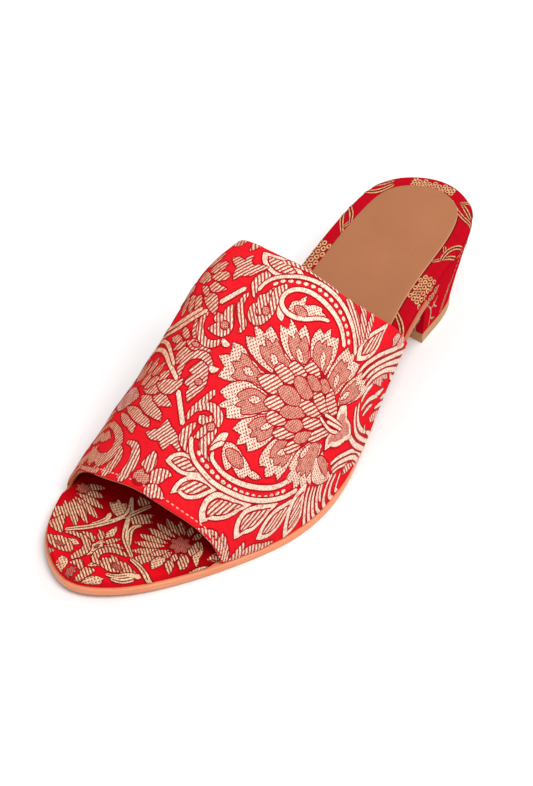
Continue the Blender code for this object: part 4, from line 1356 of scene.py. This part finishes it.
# The band itself: for each girth line a closed loop of rows, outside, round the heel rim,
# back along the lining and round the toe rim.
def buildBand():
    girths = (1 - np.cos(np.linspace(0, np.pi, band["girthCells"] + 1))) / 2
    girths = 0.5 * girths + 0.5 * np.linspace(0, 1, band["girthCells"] + 1)
    toe, heel = toeEdge(girths) + band["rimRadius"], heelEdge(girths) - band["rimRadius"]
    share = np.linspace(0, 1, band["backCells"] + 1)
    turn = np.linspace(0, np.pi, band["rimCells"] + 1)[1:-1]
    backs = toe + (heel - toe) * share[:, None]

    def across(back):
        return (girths - 0.5) * girthAt(back)

    def lining(back):
        spot, normal, _ = skinAt(back, np.broadcast_to(girths, back.shape))
        lift = creaseLift(across(back), back) * awayFromEdges(back, toe, heel, band["heldLining"])
        depth = shoe["wall"] - band["liningShare"] * lift[..., None]
        return placeAll(spot) - unit(normal) * depth * 0.001

    # the circle that joins both skins: its centre lies one radius below the outside
    def rim(edge, side):
        spot, normal, outward = skinAt(edge, girths)
        radius, angle = band["rimRadius"], turn[:, None, None]
        circle = normal * np.cos(angle) + outward * side * np.sin(angle)
        return placeAll(spot - normal * radius + radius * circle)

    outside = bandPoint(across(backs), backs, 0.0)
    loops = np.concatenate([outside, rim(heel, 1), lining(backs[::-1]), rim(toe, -1)[::-1]])
    rows, cols = loops.shape[:2]
    quads = quadsOf(rows, cols, wrapRows=True)
    # the two feather edges: strips between the outside and the lining
    outer = np.arange(len(share))
    hidden = len(share) + len(turn) + band["backCells"] - outer
    strips = []
    for col, flip in ((0, False), (cols - 1, True)):
        strip = np.stack([outer[:-1], outer[1:], hidden[1:], hidden[:-1]], 1) * cols + col
        strips.append(strip[:, ::-1] if flip else strip)
    # the half round ends of both rims, each closed by quads between its facing halves
    for first in (band["backCells"], len(share) + len(turn) + band["backCells"]):
        arc = (first + np.arange(len(turn) + 2)) % rows
        pair = np.arange(len(arc) // 2 - 1)
        cap = np.stack([arc[pair], arc[pair + 1], arc[-2 - pair], arc[-1 - pair]], 1) * cols
        strips += [cap, cap[:, ::-1] + cols - 1]
    # tan from the middle of the heel rim to the middle of the toe rim
    rowOf, half = quads[:, 0] // cols, len(turn) // 2
    firstTan = len(share) + half
    lastTan = firstTan + len(turn) + band["backCells"] + 3
    slots = ((rowOf >= firstTan) & (rowOf < lastTan)).astype(int)
    slots = np.concatenate([slots, np.ones(sum(len(s) for s in strips), int)])
    materials = [finishes["satin"], finishes["lining"]]
    quads = np.vstack([quads, *strips])
    piece = makePiece("upper_cloth", loops.reshape(-1, 3), quads, materials, slots)
    finishPiece(piece, "upper")


stitches = {
    "length": 1.5,
    "width": 0.46,
    "pitch": 2.3,
    "level": 0.06,
    "back": 44.0,  # where the girth that they are spread over is read
}


# Stitches along the toe edge: one dash for each pitch, behind the edge by the inset.
def stitchBand(cloth):
    girth = girthAt(stitches["back"])
    half = stitches["width"] / 2 * np.sqrt(np.clip(1 - np.linspace(-1, 1, 7) ** 4, 0, 1))
    for across in np.arange(3 - girth / 2, girth / 2 - 3, stitches["pitch"]):
        along = across + np.linspace(0, stitches["length"], 7)
        line = np.stack([along, toeEdge(0.5 + along / girth) + band["stitchInset"]], 1)
        cloth.add("stitch", line, half, stitches["level"])


# A piece for each tone of a cloth; swaps names the finishes that differ from the tones.
def layCloth(prefix, cloth, surface, keepInside, swaps=None):
    for tone, shapes in cloth.shapes.items():
        if shapes:
            material = finishes[(swaps or {}).get(tone, tone)]
            piece = layTone(prefix + tone, shapes, surface, material, keepInside)
            finishPiece(piece)
            print(piece.name, len(piece.data.polygons), "faces")


buildBand()
bandCloth = withMirror(chartBand())
stitchBand(bandCloth)
layCloth("upper_", bandCloth, bandPoint, insideBand)
print("band made")


# Indices of facing points across the sole, closer together towards both ends.
def facingPoints(rows, start, end):
    backs = start + (end - start) * (1 - np.cos(np.pi * np.arange(rows + 1) / rows)) / 2
    lateral = np.searchsorted(lateralLine[:-1, 1], backs)
    medial = len(outline) - np.searchsorted(medialLine[:-1, 1], backs)
    return medial % len(outline), lateral


# A plate inside the outline by a distance: each rim is a quarter circle of steps layers.
def plateLayers(distance, facing, lower, upper, rims, steps=5):
    turns = np.linspace(0, np.pi / 2, steps + 1)
    layers = []
    for turn, side in [(t, -1) for t in turns[::-1]] + [(t, 1) for t in turns]:
        radius = rims[0 if side < 0 else 1]
        line = inset(distance + radius * (1 - np.cos(turn)))
        drop = radius * (1 - np.sin(turn))
        height = (lower if side < 0 else upper)(line[:, 1]) - side * drop
        layers.append([place(line[i, 0], line[i, 1], height[i]) for i in facing])
    return layers


# Closes stacked layers of facing points with one sheet below and one above.
def closeLayers(name, layers, materials, sheetCells=20, slotOf=None, sharp=None):
    share = np.linspace(0, 1, sheetCells + 1)[None, :, None]
    inside = share[0, 1:-1]

    def ringOf(medial, lateral):
        behind = lateral[-1] + (medial[-1] - lateral[-1]) * inside
        ahead = medial[0] + (lateral[0] - medial[0]) * inside
        return np.vstack([lateral, behind, medial[::-1], ahead])

    rings = np.array([ringOf(medial, lateral) for medial, lateral in layers])
    points, quads = [rings.reshape(-1, 3)], [quadsOf(*rings.shape[:2], wrapCols=True)]
    slots = [np.zeros(len(quads[0]), int) if slotOf is None else slotOf(rings.shape)]
    start = rings.shape[0] * rings.shape[1]
    for order in (0, -1):
        medial, lateral = layers[order]
        sheet = medial[:, None] * (1 - share) + lateral[:, None] * share
        points.append(sheet.reshape(-1, 3))
        quads.append(quadsOf(*sheet.shape[:2]) + start)
        slots.append(np.zeros(len(quads[-1]), int))
        start += sheet.shape[0] * sheet.shape[1]
    points, quads, slots = np.vstack(points), np.vstack(quads), np.concatenate(slots)
    return makePiece(name, points, quads, materials, slots, sharp=sharp)


footbed = {
    "rimRadius": 1.6,
    "lowerRim": 0.4,
    "wallShown": 2.2,  # straight part of its side, below the rim
    "rows": 170,
}


# How far the footbed's edge lies inside the sole's outline: more where the band stands.
def footbedInset():
    back = outline[:, 1]
    lateral = np.arange(len(outline)) < heelIndex
    overhang = np.where(lateral, monotone(bandSections, 4, back), monotone(bandSections, 5, back))
    clear = shoe["upperSetback"] + shoe["wall"] + shoe["footbedClearance"]
    inside = np.maximum(clear - overhang, shoe["heelSetback"])
    toeEnd = np.where(lateral, bandEdges[-1][1], bandEdges[0][1])
    heelEnd = np.where(lateral, bandEdges[-1][2], bandEdges[0][2])
    underToe = np.clip((back - toeEnd + shoe["footbedStepAhead"]) / shoe["footbedStep"], 0, 1)
    underHeel = np.clip((back - heelEnd - shoe["footbedStep"]) / shoe["footbedStep"], 0, 1)
    distance = shoe["footbedSetback"] + (inside - shoe["footbedSetback"]) * underToe
    return distance + (shoe["heelSetback"] - distance) * underHeel


def buildFootbed():
    layers = plateLayers(
        footbedInset(),
        facingPoints(footbed["rows"], 0, shoe["length"]),
        lambda back: riseAt(back) + shoe["gap"],
        footbedTop,
        (footbed["lowerRim"], footbed["rimRadius"]),
    )
    piece = closeLayers("footbed_cloth", layers, [finishes["footbedSatin"]])
    finishPiece(piece, "footbed")


sock = {
    "rim": 0.3,
    "rimSteps": 3,
    "rows": 90,
    "under": 0.2,  # share of the glue gap that is left under it
}


def buildSock():
    layers = plateLayers(
        shoe["heelSetback"] + shoe["sockMargin"],
        facingPoints(sock["rows"], shoe["sockFront"], shoe["length"]),
        lambda back: footbedTop(back) + shoe["gap"] * sock["under"],
        lambda back: footbedTop(back) + shoe["gap"] + shoe["sockThick"],
        (sock["rim"], sock["rim"]),
        sock["rimSteps"],
    )

    # the cut edge is paler than the two faces
    def edgeOf(shape):
        slots = np.zeros((shape[0] - 1, shape[1]), int)
        slots[2:-1] = 1
        return slots.ravel()

    materials = [finishes["sock"], finishes["sockEdge"]]
    piece = closeLayers("sock_sheet", layers, materials, slotOf=edgeOf, sharp=50)
    finishPiece(piece, "sock")


outsole = {"rim": 0.6, "rimSteps": 4, "rows": 150}


def buildOutsole():
    layers = plateLayers(
        0.0,
        facingPoints(outsole["rows"], 0, shoe["breastBack"] - shoe["gap"]),
        lambda back: riseAt(back) - shoe["outsoleThick"],
        riseAt,
        (outsole["rim"], outsole["rim"]),
        outsole["rimSteps"],
    )
    piece = closeLayers("sole_leather", layers, [finishes["sole"]], sharp=50)
    finishPiece(piece, "outsole")


heel = {
    "rows": 60,
    "layers": 25,
    "seatGap": 0.8,  # share of the glue gap that is left under the seat
    "liftRim": 0.4,
    "liftTurns": (1.571, 1.05, 0.5, 0),  # angles of the lift's rims, from its faces outwards
}


# One layer of the heel from the seat (0) to the lift (1): the breast runs back, the back
# comes forward and the sides draw in, each a little ahead of a straight line.
def heelLayer(depth, index):
    eased = depth + shoe["heelBow"] * depth * (1 - depth)
    front = shoe["breastBack"] + shoe["breastSlope"] * eased
    end = shoe["length"] - shoe["heelSetback"] - shoe["heelBackTaper"] * eased
    seat = inset(shoe["heelSetback"])[index]
    share = seat[:, 1] - shoe["breastBack"]
    share /= shoe["length"] - shoe["heelSetback"] - shoe["breastBack"]
    x = seat[:, 0] * (1 - shoe["heelSideTaper"] * eased)
    top = riseAt(seat[:, 1]) + heel["seatGap"] * shoe["gap"]
    height = top * (1 - depth) + (shoe["liftThick"] + shoe["gap"]) * depth
    return np.stack([x, front + share * (end - front), height], -1)


def buildHeel():
    facing = facingPoints(heel["rows"], shoe["breastBack"], shoe["length"])
    depths = np.linspace(1, 0, heel["layers"])
    layers = [[place(*heelLayer(depth, i).T) for i in facing] for depth in depths]
    piece = closeLayers("heel_cloth", layers, [finishes["heelSatin"]], sharp=40)
    finishPiece(piece, "heel_block")
    # the lift: the heel's lowest layer, drawn in at both rims by a quarter circle
    foot, layers = [place(*heelLayer(1, i).T) for i in facing], []
    middle = (foot[0] + foot[1]).mean(0) / 2
    half, flat = shoe["liftThick"] / 2, (1, 1, 0)
    turns = [(turn, -1) for turn in heel["liftTurns"]]
    for turn, side in turns + [(turn, 1) for turn in heel["liftTurns"][::-1]]:
        drawn = heel["liftRim"] * (1 - np.cos(turn)) * 0.001
        height = (half + side * (half - heel["liftRim"] * (1 - np.sin(turn)))) * 0.001
        pulled = [line - unit((line - middle) * flat) * drawn for line in foot]
        layers.append([line * flat + (0, 0, height) for line in pulled])
    piece = closeLayers("heel_lift", layers, [finishes["lift"]], sharp=40)
    finishPiece(piece, "top_piece")


# The brocade on the footbed, charted in plan: each point is x and back.
toeStems = (
    # points of a grooved stem, then its widths
    (((-28, 17.8), (-25.6, 20.4), (-22, 24), (-18.4, 28.6), (-15.6, 33), (-13.2, 38.6)),
    (1.4, 2, 2, 1.8, 1.8)),
    (((-21.6, 26.2), (-19.4, 29.4), (-18.3, 32.4), (-19.2, 35.4)), (1, 1.6, 2, 1.8)),
    (((2.2, 22.8), (-2, 25.6), (-6.4, 28.8), (-9.2, 32.8), (-11.8, 38)), (1.2, 1.8, 2, 1.8)),
    (((-2.4, 26.6), (-4.8, 29.8), (-6.8, 33), (-6.5, 36.2), (-4.8, 37.6)), (1.2, 1.8, 2.2, 1.8, 1)),
    (((-12.8, 36.6), (-13, 39.4), (-14.8, 43), (-17.6, 47)), (3, 2.8, 1.8, 1.2)),
    (((-12.4, 38.6), (-10.6, 43), (-8.2, 48)), (2, 1.8, 1.4)),
    (((2, 22), (7.6, 21), (14, 18.4), (20, 16.6)), (1.4, 2, 1.8)),
    (((-0.8, 10.2), (3.4, 12), (6.4, 15), (11, 17.4)), (1.2, 2, 1.8)),
    (((2, 9.6), (6.2, 11.6), (9.4, 15.4)), (1, 1.8, 1.6)),
)

toeRibbons = (
    # points of a barred ribbon, then its widths
    (((-16.8, 8), (-15.6, 11.4), (-14.9, 15), (-16.4, 17.6), (-19.2, 19.1), (-23.4, 18.8), (-27.6, 17.2)),
    (1.4, 3.4, 3.4, 3, 2.2, 1.8, 1.2)),
    (((-5.4, 13.4), (-8.6, 13.4), (-9.8, 15.8), (-9.2, 18.6), (-7, 20.8), (-3.6, 22), (0.8, 22.6)),
    (1.6, 2.8, 2.8, 2.6, 2.4, 2, 1.2)),
)

toePatches = (
    # corners of a barred or speckled patch
    ((-16, 0.6), (-19.8, 2.4), (-20.2, 7), (-17, 6.9), (-15.7, 4.5)),
    ((-15.6, 6.2), (-14.6, 8.6), (-12.6, 10.2), (-10.2, 8.2), (-9.8, 6), (-12.5, 7)),
    ((-9, 0.4), (-7.4, 1), (-6.2, 4), (-5.2, 9.6), (-9.8, 7.5), (-8.8, 4)),
    ((-6, 1.4), (-3, 2.8), (0.2, 5.6), (0, 7.9), (-3.5, 6.8), (-5.4, 4.2)),
    ((-27, 4.6), (-24.2, 7), (-27, 7.4), (-29, 6.4)),
    ((-32.2, 12), (-29, 9.6), (-25, 8.7), (-21, 9.3), (-18.6, 11), (-19.5, 12.9), (-23, 14.6), (-27, 14.6),
    (-29.4, 12.8)),
    ((-24.4, 14.9), (-20.6, 14.1), (-18.8, 15.8), (-21.4, 16.6)),
    ((-36, 17), (-30.6, 15.5), (-27.8, 16.1), (-30, 18.6), (-31, 21.4), (-33.2, 23.5), (-34.6, 20)),
    ((-39, 21.4), (-35, 20.6), (-34.4, 23), (-36, 26.6), (-39, 25)),
    ((-12.7, 12.8), (-11.1, 17.5), (-10.6, 20), (-12.5, 22.9), (-14.1, 19.6), (-13.9, 17)),
    ((-21.8, 21.4), (-18, 20.3), (-15, 19.9), (-15.4, 21.9), (-18.6, 22.8)),
    ((-17.2, 25.9), (-15, 22.9), (-12.9, 22.2), (-13.4, 24.7), (-15.4, 26.2)),
    ((-13.7, 26.8), (-12.6, 24.4), (-10.7, 27), (-11.1, 28.9), (-12.6, 31.5)),
    ((-11.7, 22.3), (-9.8, 22.5), (-7.3, 27.5), (-10.2, 25.5)),
    ((-10.2, 20.9), (-7.6, 21.2), (-3.5, 24.2), (-6, 25), (-8.6, 23.6)),
    ((-15.2, 36), (-18, 36.2), (-22.9, 39.6), (-20, 40.3), (-21.2, 42.7), (-18.4, 41.5), (-17.4, 43.1),
    (-14.9, 40.6)),
    ((-11, 37.4), (-8.4, 36.4), (-4.6, 39.5), (-2.7, 41.7), (-4.9, 42.1), (-4.7, 44.9), (-7.4, 43.1),
    (-9.9, 41)),
    ((-15.2, 49), (-13.4, 45.4), (-11, 45.8), (-9.6, 49)),
    ((-9, 9.5), (-7.2, 10.4), (-5.4, 12.6), (-6.2, 13.8), (-8.4, 12.6)),
    ((-5.6, 12.7), (-1, 12.2), (2.4, 13.9), (5.6, 16.1), (8.3, 17.7), (5.2, 18.4), (2, 19.2), (-0.6, 18.4),
    (-2.4, 19.2), (-5.2, 18.8), (-3.8, 17.6), (-6.8, 16)),
    ((2.3, 20.9), (5.6, 21), (8.4, 25.2), (8.8, 28.8), (5.4, 27.6), (3, 24)),
    ((9.2, 26.4), (11.8, 23.1), (13.5, 27.6), (12.9, 30.4), (10.4, 29.6)),
    ((13.9, 29.7), (15.5, 26.9), (18.6, 25.7), (17.5, 29.6), (15.6, 31.6)),
    ((17.2, 34.9), (17.9, 31.5), (20.2, 29.8), (21.8, 31.6), (20.7, 35.4), (18, 36.6)),
    ((19.4, 40), (22, 36.4), (24.7, 35.1), (23.1, 38.4), (21.9, 42.6), (18.9, 45.2)),
    ((17.4, 39.6), (20, 38.2), (20.4, 42), (17.8, 44.8)),
    ((21, 20.4), (23.6, 24), (24, 28), (21.6, 25)),
    ((25, 31), (28, 33), (29.4, 38), (26.4, 36)),
    ((26, 40), (29.6, 42), (31.6, 47), (27, 45)),
)

toePetals = (
    # base x, back, tip x, back, width of the long petals of the two flowers at the toe
    (9.6, 33.4, -0.4, 25.6, 3), (9, 35.4, -2, 29.6, 2.9), (8.8, 37.2, -3.2, 33.8, 2.9),
    (8.8, 39.2, -2.2, 38.4, 2.9), (9.2, 41.2, -1, 42.6, 2.9), (10.2, 43, 0.4, 46.6, 2.9),
    (11.6, 44.2, 5.8, 48.6, 2.7), (13.4, 44.6, 11.6, 49.2, 2.7), (15.4, 44.2, 17, 48.6, 2.7),
    (11.2, 34.6, 6.8, 28.2, 2.8), (12.8, 34.6, 11.2, 30, 2.7), (14.6, 35, 15.8, 30.8, 2.7),
    (16.4, 36.4, 18.6, 33.4, 2.4), (17, 41.6, 20, 37.4, 2.6), (-37, 31, -25.6, 21.6, 3.2),
    (-36, 32, -23, 25.6, 3.2), (-36, 33.4, -21.6, 30.2, 3.2), (-36.4, 35.2, -23, 35.4, 3.2),
    (-37, 37, -26.4, 40, 3.2), (-38, 38.6, -28.8, 44, 3), (-38, 29.6, -31.6, 22.6, 2.8),
)

toeRoses = (
    # middle x, back, half length, width
    (-12.3, 3, 1.9, 5.6), (-25, 11.2, 2.6, 1.8), (0.4, 15.6, 3, 2.6), (13.4, 39.2, 4.2, 8),
    (-36, 38.6, 3, 5), (-12.4, 19, 0.6, 2.4),
)

rimMotifs = (
    # points of a gold line on the heel's margin, then its widths
    (((-20.4, 196.6), (-24, 201), (-28, 208)), (1, 1.4, 1.4)),
    (((-20.8, 202.6), (-23, 207), (-28, 212)), (1, 1.6, 1.6)),
    (((-22.6, 199.8), (-21.4, 205)), (1, 1.2)),
    (((-26.6, 220.6), (-21.6, 223.4), (-19, 227), (-17, 231)), (1.6, 1.8, 1.2)),
    (((-26, 225), (-21.4, 229), (-18.2, 233)), (1.6, 1.6, 1)),
    (((9, 236.6), (14, 233), (19, 230.6), (26, 228.6)), (1, 1.4, 1.4)),
    (((13.4, 237.4), (17.4, 235), (22.4, 231.4)), (1, 1.6, 1)),
    (((13, 236.6), (18, 239), (22.8, 234)), (1, 1.4, 1)),
    (((20.6, 204), (23.6, 207.2), (29, 213)), (1, 1.4, 1.6)),
    (((23.6, 206.4), (23.6, 212), (28.4, 219)), (1.2, 1.6, 1.4)),
    (((20.6, 213.8), (24.8, 208.2)), (1, 1.4)),
    (((21.8, 175.4), (27, 171.6), (31, 167)), (1.4, 1.8, 1.4)),
    (((-27.6, 170), (-22, 172.6)), (1.6, 1)),
)

# The brocade on the heel: each point is along the wall from a corner, and down from the seat.
heelLines = (
    # points from a breast corner over the side, then widths
    (((28.2, 11), (25.6, 19), (22.6, 29.5)), (0.6, 0.7)),
    (((25.4, 14), (22.8, 21), (20.4, 28)), (0.5, 0.6)),
    (((25, 1), (33, -1), (38, 3)), (1, 1.4, 1)),
    (((3.2, 9), (6.4, 14), (7.6, 20), (6.6, 26)), (0.5, 0.9, 0.9, 0.5)),
    (((7.6, 20), (10.4, 23.4), (13.6, 25)), (0.6, 1, 0.5)),
    (((8.6, 11), (10.6, 15.6), (14, 18.6)), (0.5, 1, 0.5)),
    (((6.4, 14), (9.4, 13.4), (12.2, 10.4)), (0.5, 0.9, 0.5)),
)

breastLines = (
    # points in from the outer breast corner over the breast, then widths
    (((2.4, 4), (3.2, 10), (2.6, 16), (4.4, 22), (3.6, 28)), (0.6, 0.9, 0.9, 0.6)),
    (((3, 12), (6.4, 14.6), (8.4, 18.6)), (0.6, 1.1, 0.5)),
    (((4.2, 22), (7.2, 23), (10, 26)), (0.6, 1.1, 0.5)),
    (((12, 6), (14.6, 11), (14, 17), (16.6, 22)), (0.6, 1, 0.9, 0.5)),
    (((14.4, 12), (17.6, 13), (20, 16.6)), (0.6, 1.1, 0.5)),
)


# How the patches of the footbed are barred: every third one is speckled.
def footbedBars(order):
    return "weft" if order % 3 else "speck"


def chartFootbed():
    cloth = Cloth(flatWeft)
    for order, corners in enumerate(toePatches):
        look = {"bars": footbedBars(order), "pitch": 1.25, "edge": 0.4, "inset": -0.08}
        cloth.patch(corners, levelOf(order, relief["ground"]), **look)
    petal = {"pitch": 1.1, "edge": 0.42, "swell": 1.15}
    for order, (x, back, tipX, tipBack, width) in enumerate(toePetals):
        level = levelOf(order, relief["ground"], 0.08)
        cloth.leaf((x, back), (tipX, tipBack), width, 0.03, level, **petal)
    for points, widths in toeRibbons:
        cloth.ribbon(points, widths, relief["ribbon"], bars="weft", pitch=1.25)
    for points, widths in toeStems:
        cloth.ribbon(points, widths, relief["stem"])
        groove = points[:-1] if len(points) > 3 else points
        cloth.ribbon(groove, np.array(widths) * 0.24, 0.31, "outline", edge=0)
    for x, back, reach, width in toeRoses:
        angle = np.linspace(0, 2 * np.pi, 14, endpoint=False)
        lobes = np.stack([np.cos(angle), np.sin(angle)], 1)
        lobes = np.where(np.arange(14) % 2, 1.12, 0.76)[:, None] * lobes
        corners = (x, back) + lobes * (reach, width / 2)
        cloth.patch(corners, 0.31, edge=0.3, bow=0.12, **roseWeave)
    for order, (points, widths) in enumerate(rimMotifs):
        level = levelOf(order, relief["ground"], 2 * nextLevel)
        cloth.ribbon(points, np.array(widths) * 1.2, level, edge=0.3)
        cloth.ribbon(points, np.array(widths) * 0.5, level + nextLevel, "outline", edge=0)
    # a painted shadow: a dark line along the sock's edge, where the cloth meets it
    sockShadow = inset(shoe["heelSetback"] + shoe["sockMargin"] - 0.25)[::16]
    sockShadow = sockShadow[sockShadow[:, 1] > shoe["sockFront"] + 4]
    cloth.add("outline", sockShadow, np.full(len(sockShadow), 0.42), 0.045)
    cloth.scales(((-11, 234), (8, 238.8)), ((-12, 239.4), (8, 244)), 9, 3, (2.3, 2.0))
    cloth.scales(((-20.6, 173), (-20.6, 189.6)), ((-28.6, 173), (-28.6, 191.4)), 7, 3, (2.7, 2.3))
    cloth.scales(((21.4, 184.6), (20.6, 197)), ((30, 181.6), (29.6, 198)), 6, 4, (2.5, 2.0))
    return cloth


# Every eighth point of the footbed's edge, and the way inwards there.
rimLine, rimInwards = inset(footbedInset())[::8], outlineInwards[::8]


# A point over the footbed's top: within the rim radius R of the edge the chart runs on round
# it, turned by the angle (R - depth) / R, and then down the side.
def footbedPoint(x, back, lift):
    chart = np.stack([x, back], -1).reshape(-1, 2)
    parts = np.array_split(chart, len(chart) // 4000 + 1)  # so that the distances stay few
    near = [((part[:, None] - rimLine[None]) ** 2).sum(-1).argmin(1) for part in parts]
    near = np.concatenate(near)
    edge, inwards = rimLine[near], rimInwards[near]
    depth = ((chart - edge) * inwards).sum(-1)
    radius = footbed["rimRadius"]
    run = np.clip(radius - depth, 0, radius * np.pi / 2 + footbed["wallShown"])
    turn = np.clip(run / radius, 0, np.pi / 2)
    level = chart + inwards * (np.maximum(depth, radius) - depth - radius * np.sin(turn))[:, None]
    down = radius * (1 - np.cos(turn)) + np.maximum(run - radius * np.pi / 2, 0)
    height = np.asarray(lift).ravel()
    level = level - inwards * (height * np.sin(turn))[:, None]
    top = footbedTop(level[:, 1]) - down + height * np.cos(turn)
    return place(level[:, 0], level[:, 1], top).reshape(*np.shape(x), 3)


def insideFootbed(grid):
    middle = grid.reshape(-1, 2).mean(0)
    near = np.argmin(((middle - rimLine) ** 2).sum(-1))
    depth = float(((middle - rimLine[near]) * rimInwards[near]).sum())
    return grid, depth > -footbed["wallShown"] - 0.8


# The heel's covered wall as a table: depths down it by places round it, from the inner
# breast corner over the back to the outer one, and on over half of the breast.
heelWall = {"rows": 40, "cols": 400, "breastCols": 100}
innerCorner = len(outline) - np.searchsorted(medialLine[:-1, 1], shoe["breastBack"])
outerCorner = np.searchsorted(lateralLine[:-1, 1], shoe["breastBack"])
wallIndex = np.linspace(innerCorner, outerCorner, heelWall["cols"]).astype(int)
wallDepths = np.linspace(0, 1, heelWall["rows"])
wallTable = np.array([heelLayer(depth, wallIndex) for depth in wallDepths])
breastShare = np.linspace(0, 0.5, heelWall["breastCols"] + 1)[1:, None]
breastTable = wallTable[:, -1:] + (wallTable[:, :1] - wallTable[:, -1:]) * breastShare
wallTable = np.concatenate([wallTable, breastTable], axis=1)
wallRun = runAlong(wallTable[0])
cornerRun = wallRun[heelWall["cols"] - 1]
wallNormal = unit(np.cross(np.gradient(wallTable, axis=0), np.gradient(wallTable, axis=1)))
fromMiddle = wallTable[..., :2] - wallTable[0].mean(0)[:2]
wallNormal = wallNormal * np.sign((fromMiddle * wallNormal[..., :2]).sum())


def heelPoint(along, down, lift):
    col = np.interp(along, wallRun, np.arange(len(wallRun)))
    tall = readTable(wallTable, 0 * col, col)[..., 2] - shoe["liftThick"] - shoe["gap"]
    row = np.clip(down / tall, 0, 1) * (heelWall["rows"] - 1)
    normal = readTable(wallNormal, row, col)
    return placeAll(readTable(wallTable, row, col) + normal * np.asarray(lift)[..., None])


def insideHeel(grid):
    along, down = np.clip(grid[..., 0], 0.4, wallRun[-1] - 0.4), np.clip(grid[..., 1], 0.2, 40)
    return np.stack([along, down], -1), bool(0 < grid[..., 0].mean() < wallRun[-1])


# A part of the footbed's flowers stands on the heel's back, and both sides have lines, beads
# and scales of their own.
def chartHeel():
    cloth = Cloth(flatWeft)
    shift = (cornerRun / 2 + 12.5, -12.0)
    for order, corners in enumerate(toePatches):
        corners = np.array(corners, float)
        x, back = corners.mean(0)
        if -36 < x < 18 and 10 < back < 46:
            look = {"bars": footbedBars(order), "pitch": 1.25}
            cloth.patch(corners + shift, levelOf(order, relief["ground"]), **look)
    for points, widths in toeStems[:7]:
        cloth.ribbon(np.array(points, float) + shift, widths, relief["ribbon"])
    for mirrored in (False, True):

        def turned(points):
            points = np.array(points, float)
            return points * (-1, 1) + (cornerRun, 0) if mirrored else points

        for points, widths in heelLines:
            cloth.ribbon(turned(points), widths, edge=0.3)
        cloth.beads(turned(((31, 1), (29.6, 6), (28.2, 11))), (1.5, 0.9), 2.1)
        first, last = turned(((1.4, 0.6), (11.4, 0.6))), turned(((1.4, 8), (9.4, 7)))
        cloth.scales(first, last, 4, 3, (2.2, 2.1))
    for points, widths in breastLines:
        cloth.ribbon(np.array(points) + (cornerRun, 0), widths, edge=0.3)
    return cloth


shaded = {"gold": "footbedGold", "rose": "deepRose", "outline": "deepOutline"}

buildFootbed()
layCloth("footbed_", chartFootbed(), footbedPoint, insideFootbed, shaded)
buildSock()
buildOutsole()
buildHeel()
layCloth("heel_", chartHeel(), heelPoint, insideHeel, shaded)
print("footbed, sock, sole and heel made")

view = {
    "place": (332.5, -448.65, 634.6),  # in millimetres, from the middle of the shoe's length
    "aim": (0.0, -8.0, 22.0),
    "roll": 0.6,
    "lens": 92.0,
}


def addCamera():
    eye, aim = Vector(view["place"]) * 0.001, Vector(view["aim"]) * 0.001
    data = bpy.data.cameras.new("camera")
    data.lens, data.sensor_width = view["lens"], 36
    data.clip_start, data.clip_end = 0.05, 20
    camera = addObject("camera", data)
    facing = (aim - eye).to_track_quat("-Z", "Y").to_matrix().to_4x4()
    roll = Matrix.Rotation(np.radians(-view["roll"]), 4, "Z")
    camera.matrix_world = Matrix.Translation(eye) @ facing @ roll
    bpy.context.scene.camera = camera


studio = {
    "aim": (0, 0, 0.02),
    "lights": (
        # name, place, size in metres, watts
        ("key", (0.55, -0.12, 1.3), 0.8, 14.4),
        ("fill", (-0.9, -0.5, 0.9), 1.0, 1.2),
        ("back", (0.3, 0.9, 0.9), 0.9, 3.5),
    ),
    "world": 0.52,
    "floor": 0.88,
    "floorReach": 3,  # metres from its middle
}


def addLights():
    for name, spot, size, watts in studio["lights"]:
        data = bpy.data.lights.new(name, "AREA")
        data.shape, data.size, data.energy = "DISK", size, watts
        lamp = addObject(name, data)
        lamp.location = spot
        towards = Vector(studio["aim"]) - Vector(spot)
        lamp.rotation_euler = towards.to_track_quat("-Z", "Y").to_euler()
    world = bpy.data.worlds.new("studio")
    world.use_nodes = True
    sky = world.node_tree.nodes["Background"].inputs
    sky["Color"].default_value, sky["Strength"].default_value = (1, 1, 1, 1), studio["world"]
    bpy.context.scene.world = world
    settings = bpy.context.scene.view_settings
    settings.view_transform, settings.look = "Standard", "None"


def addFloor():
    reach, tone = studio["floorReach"], studio["floor"]
    corners = [(-reach, -reach, 0), (reach, -reach, 0), (reach, reach, 0), (-reach, reach, 0)]
    material, _, _ = newMaterial("pale floor", 0.9, Base_Color=(tone, tone, tone, 1))
    makePiece("floor", corners, [(0, 1, 2, 3)], [material], merge=False)


addCamera()
addLights()
addFloor()
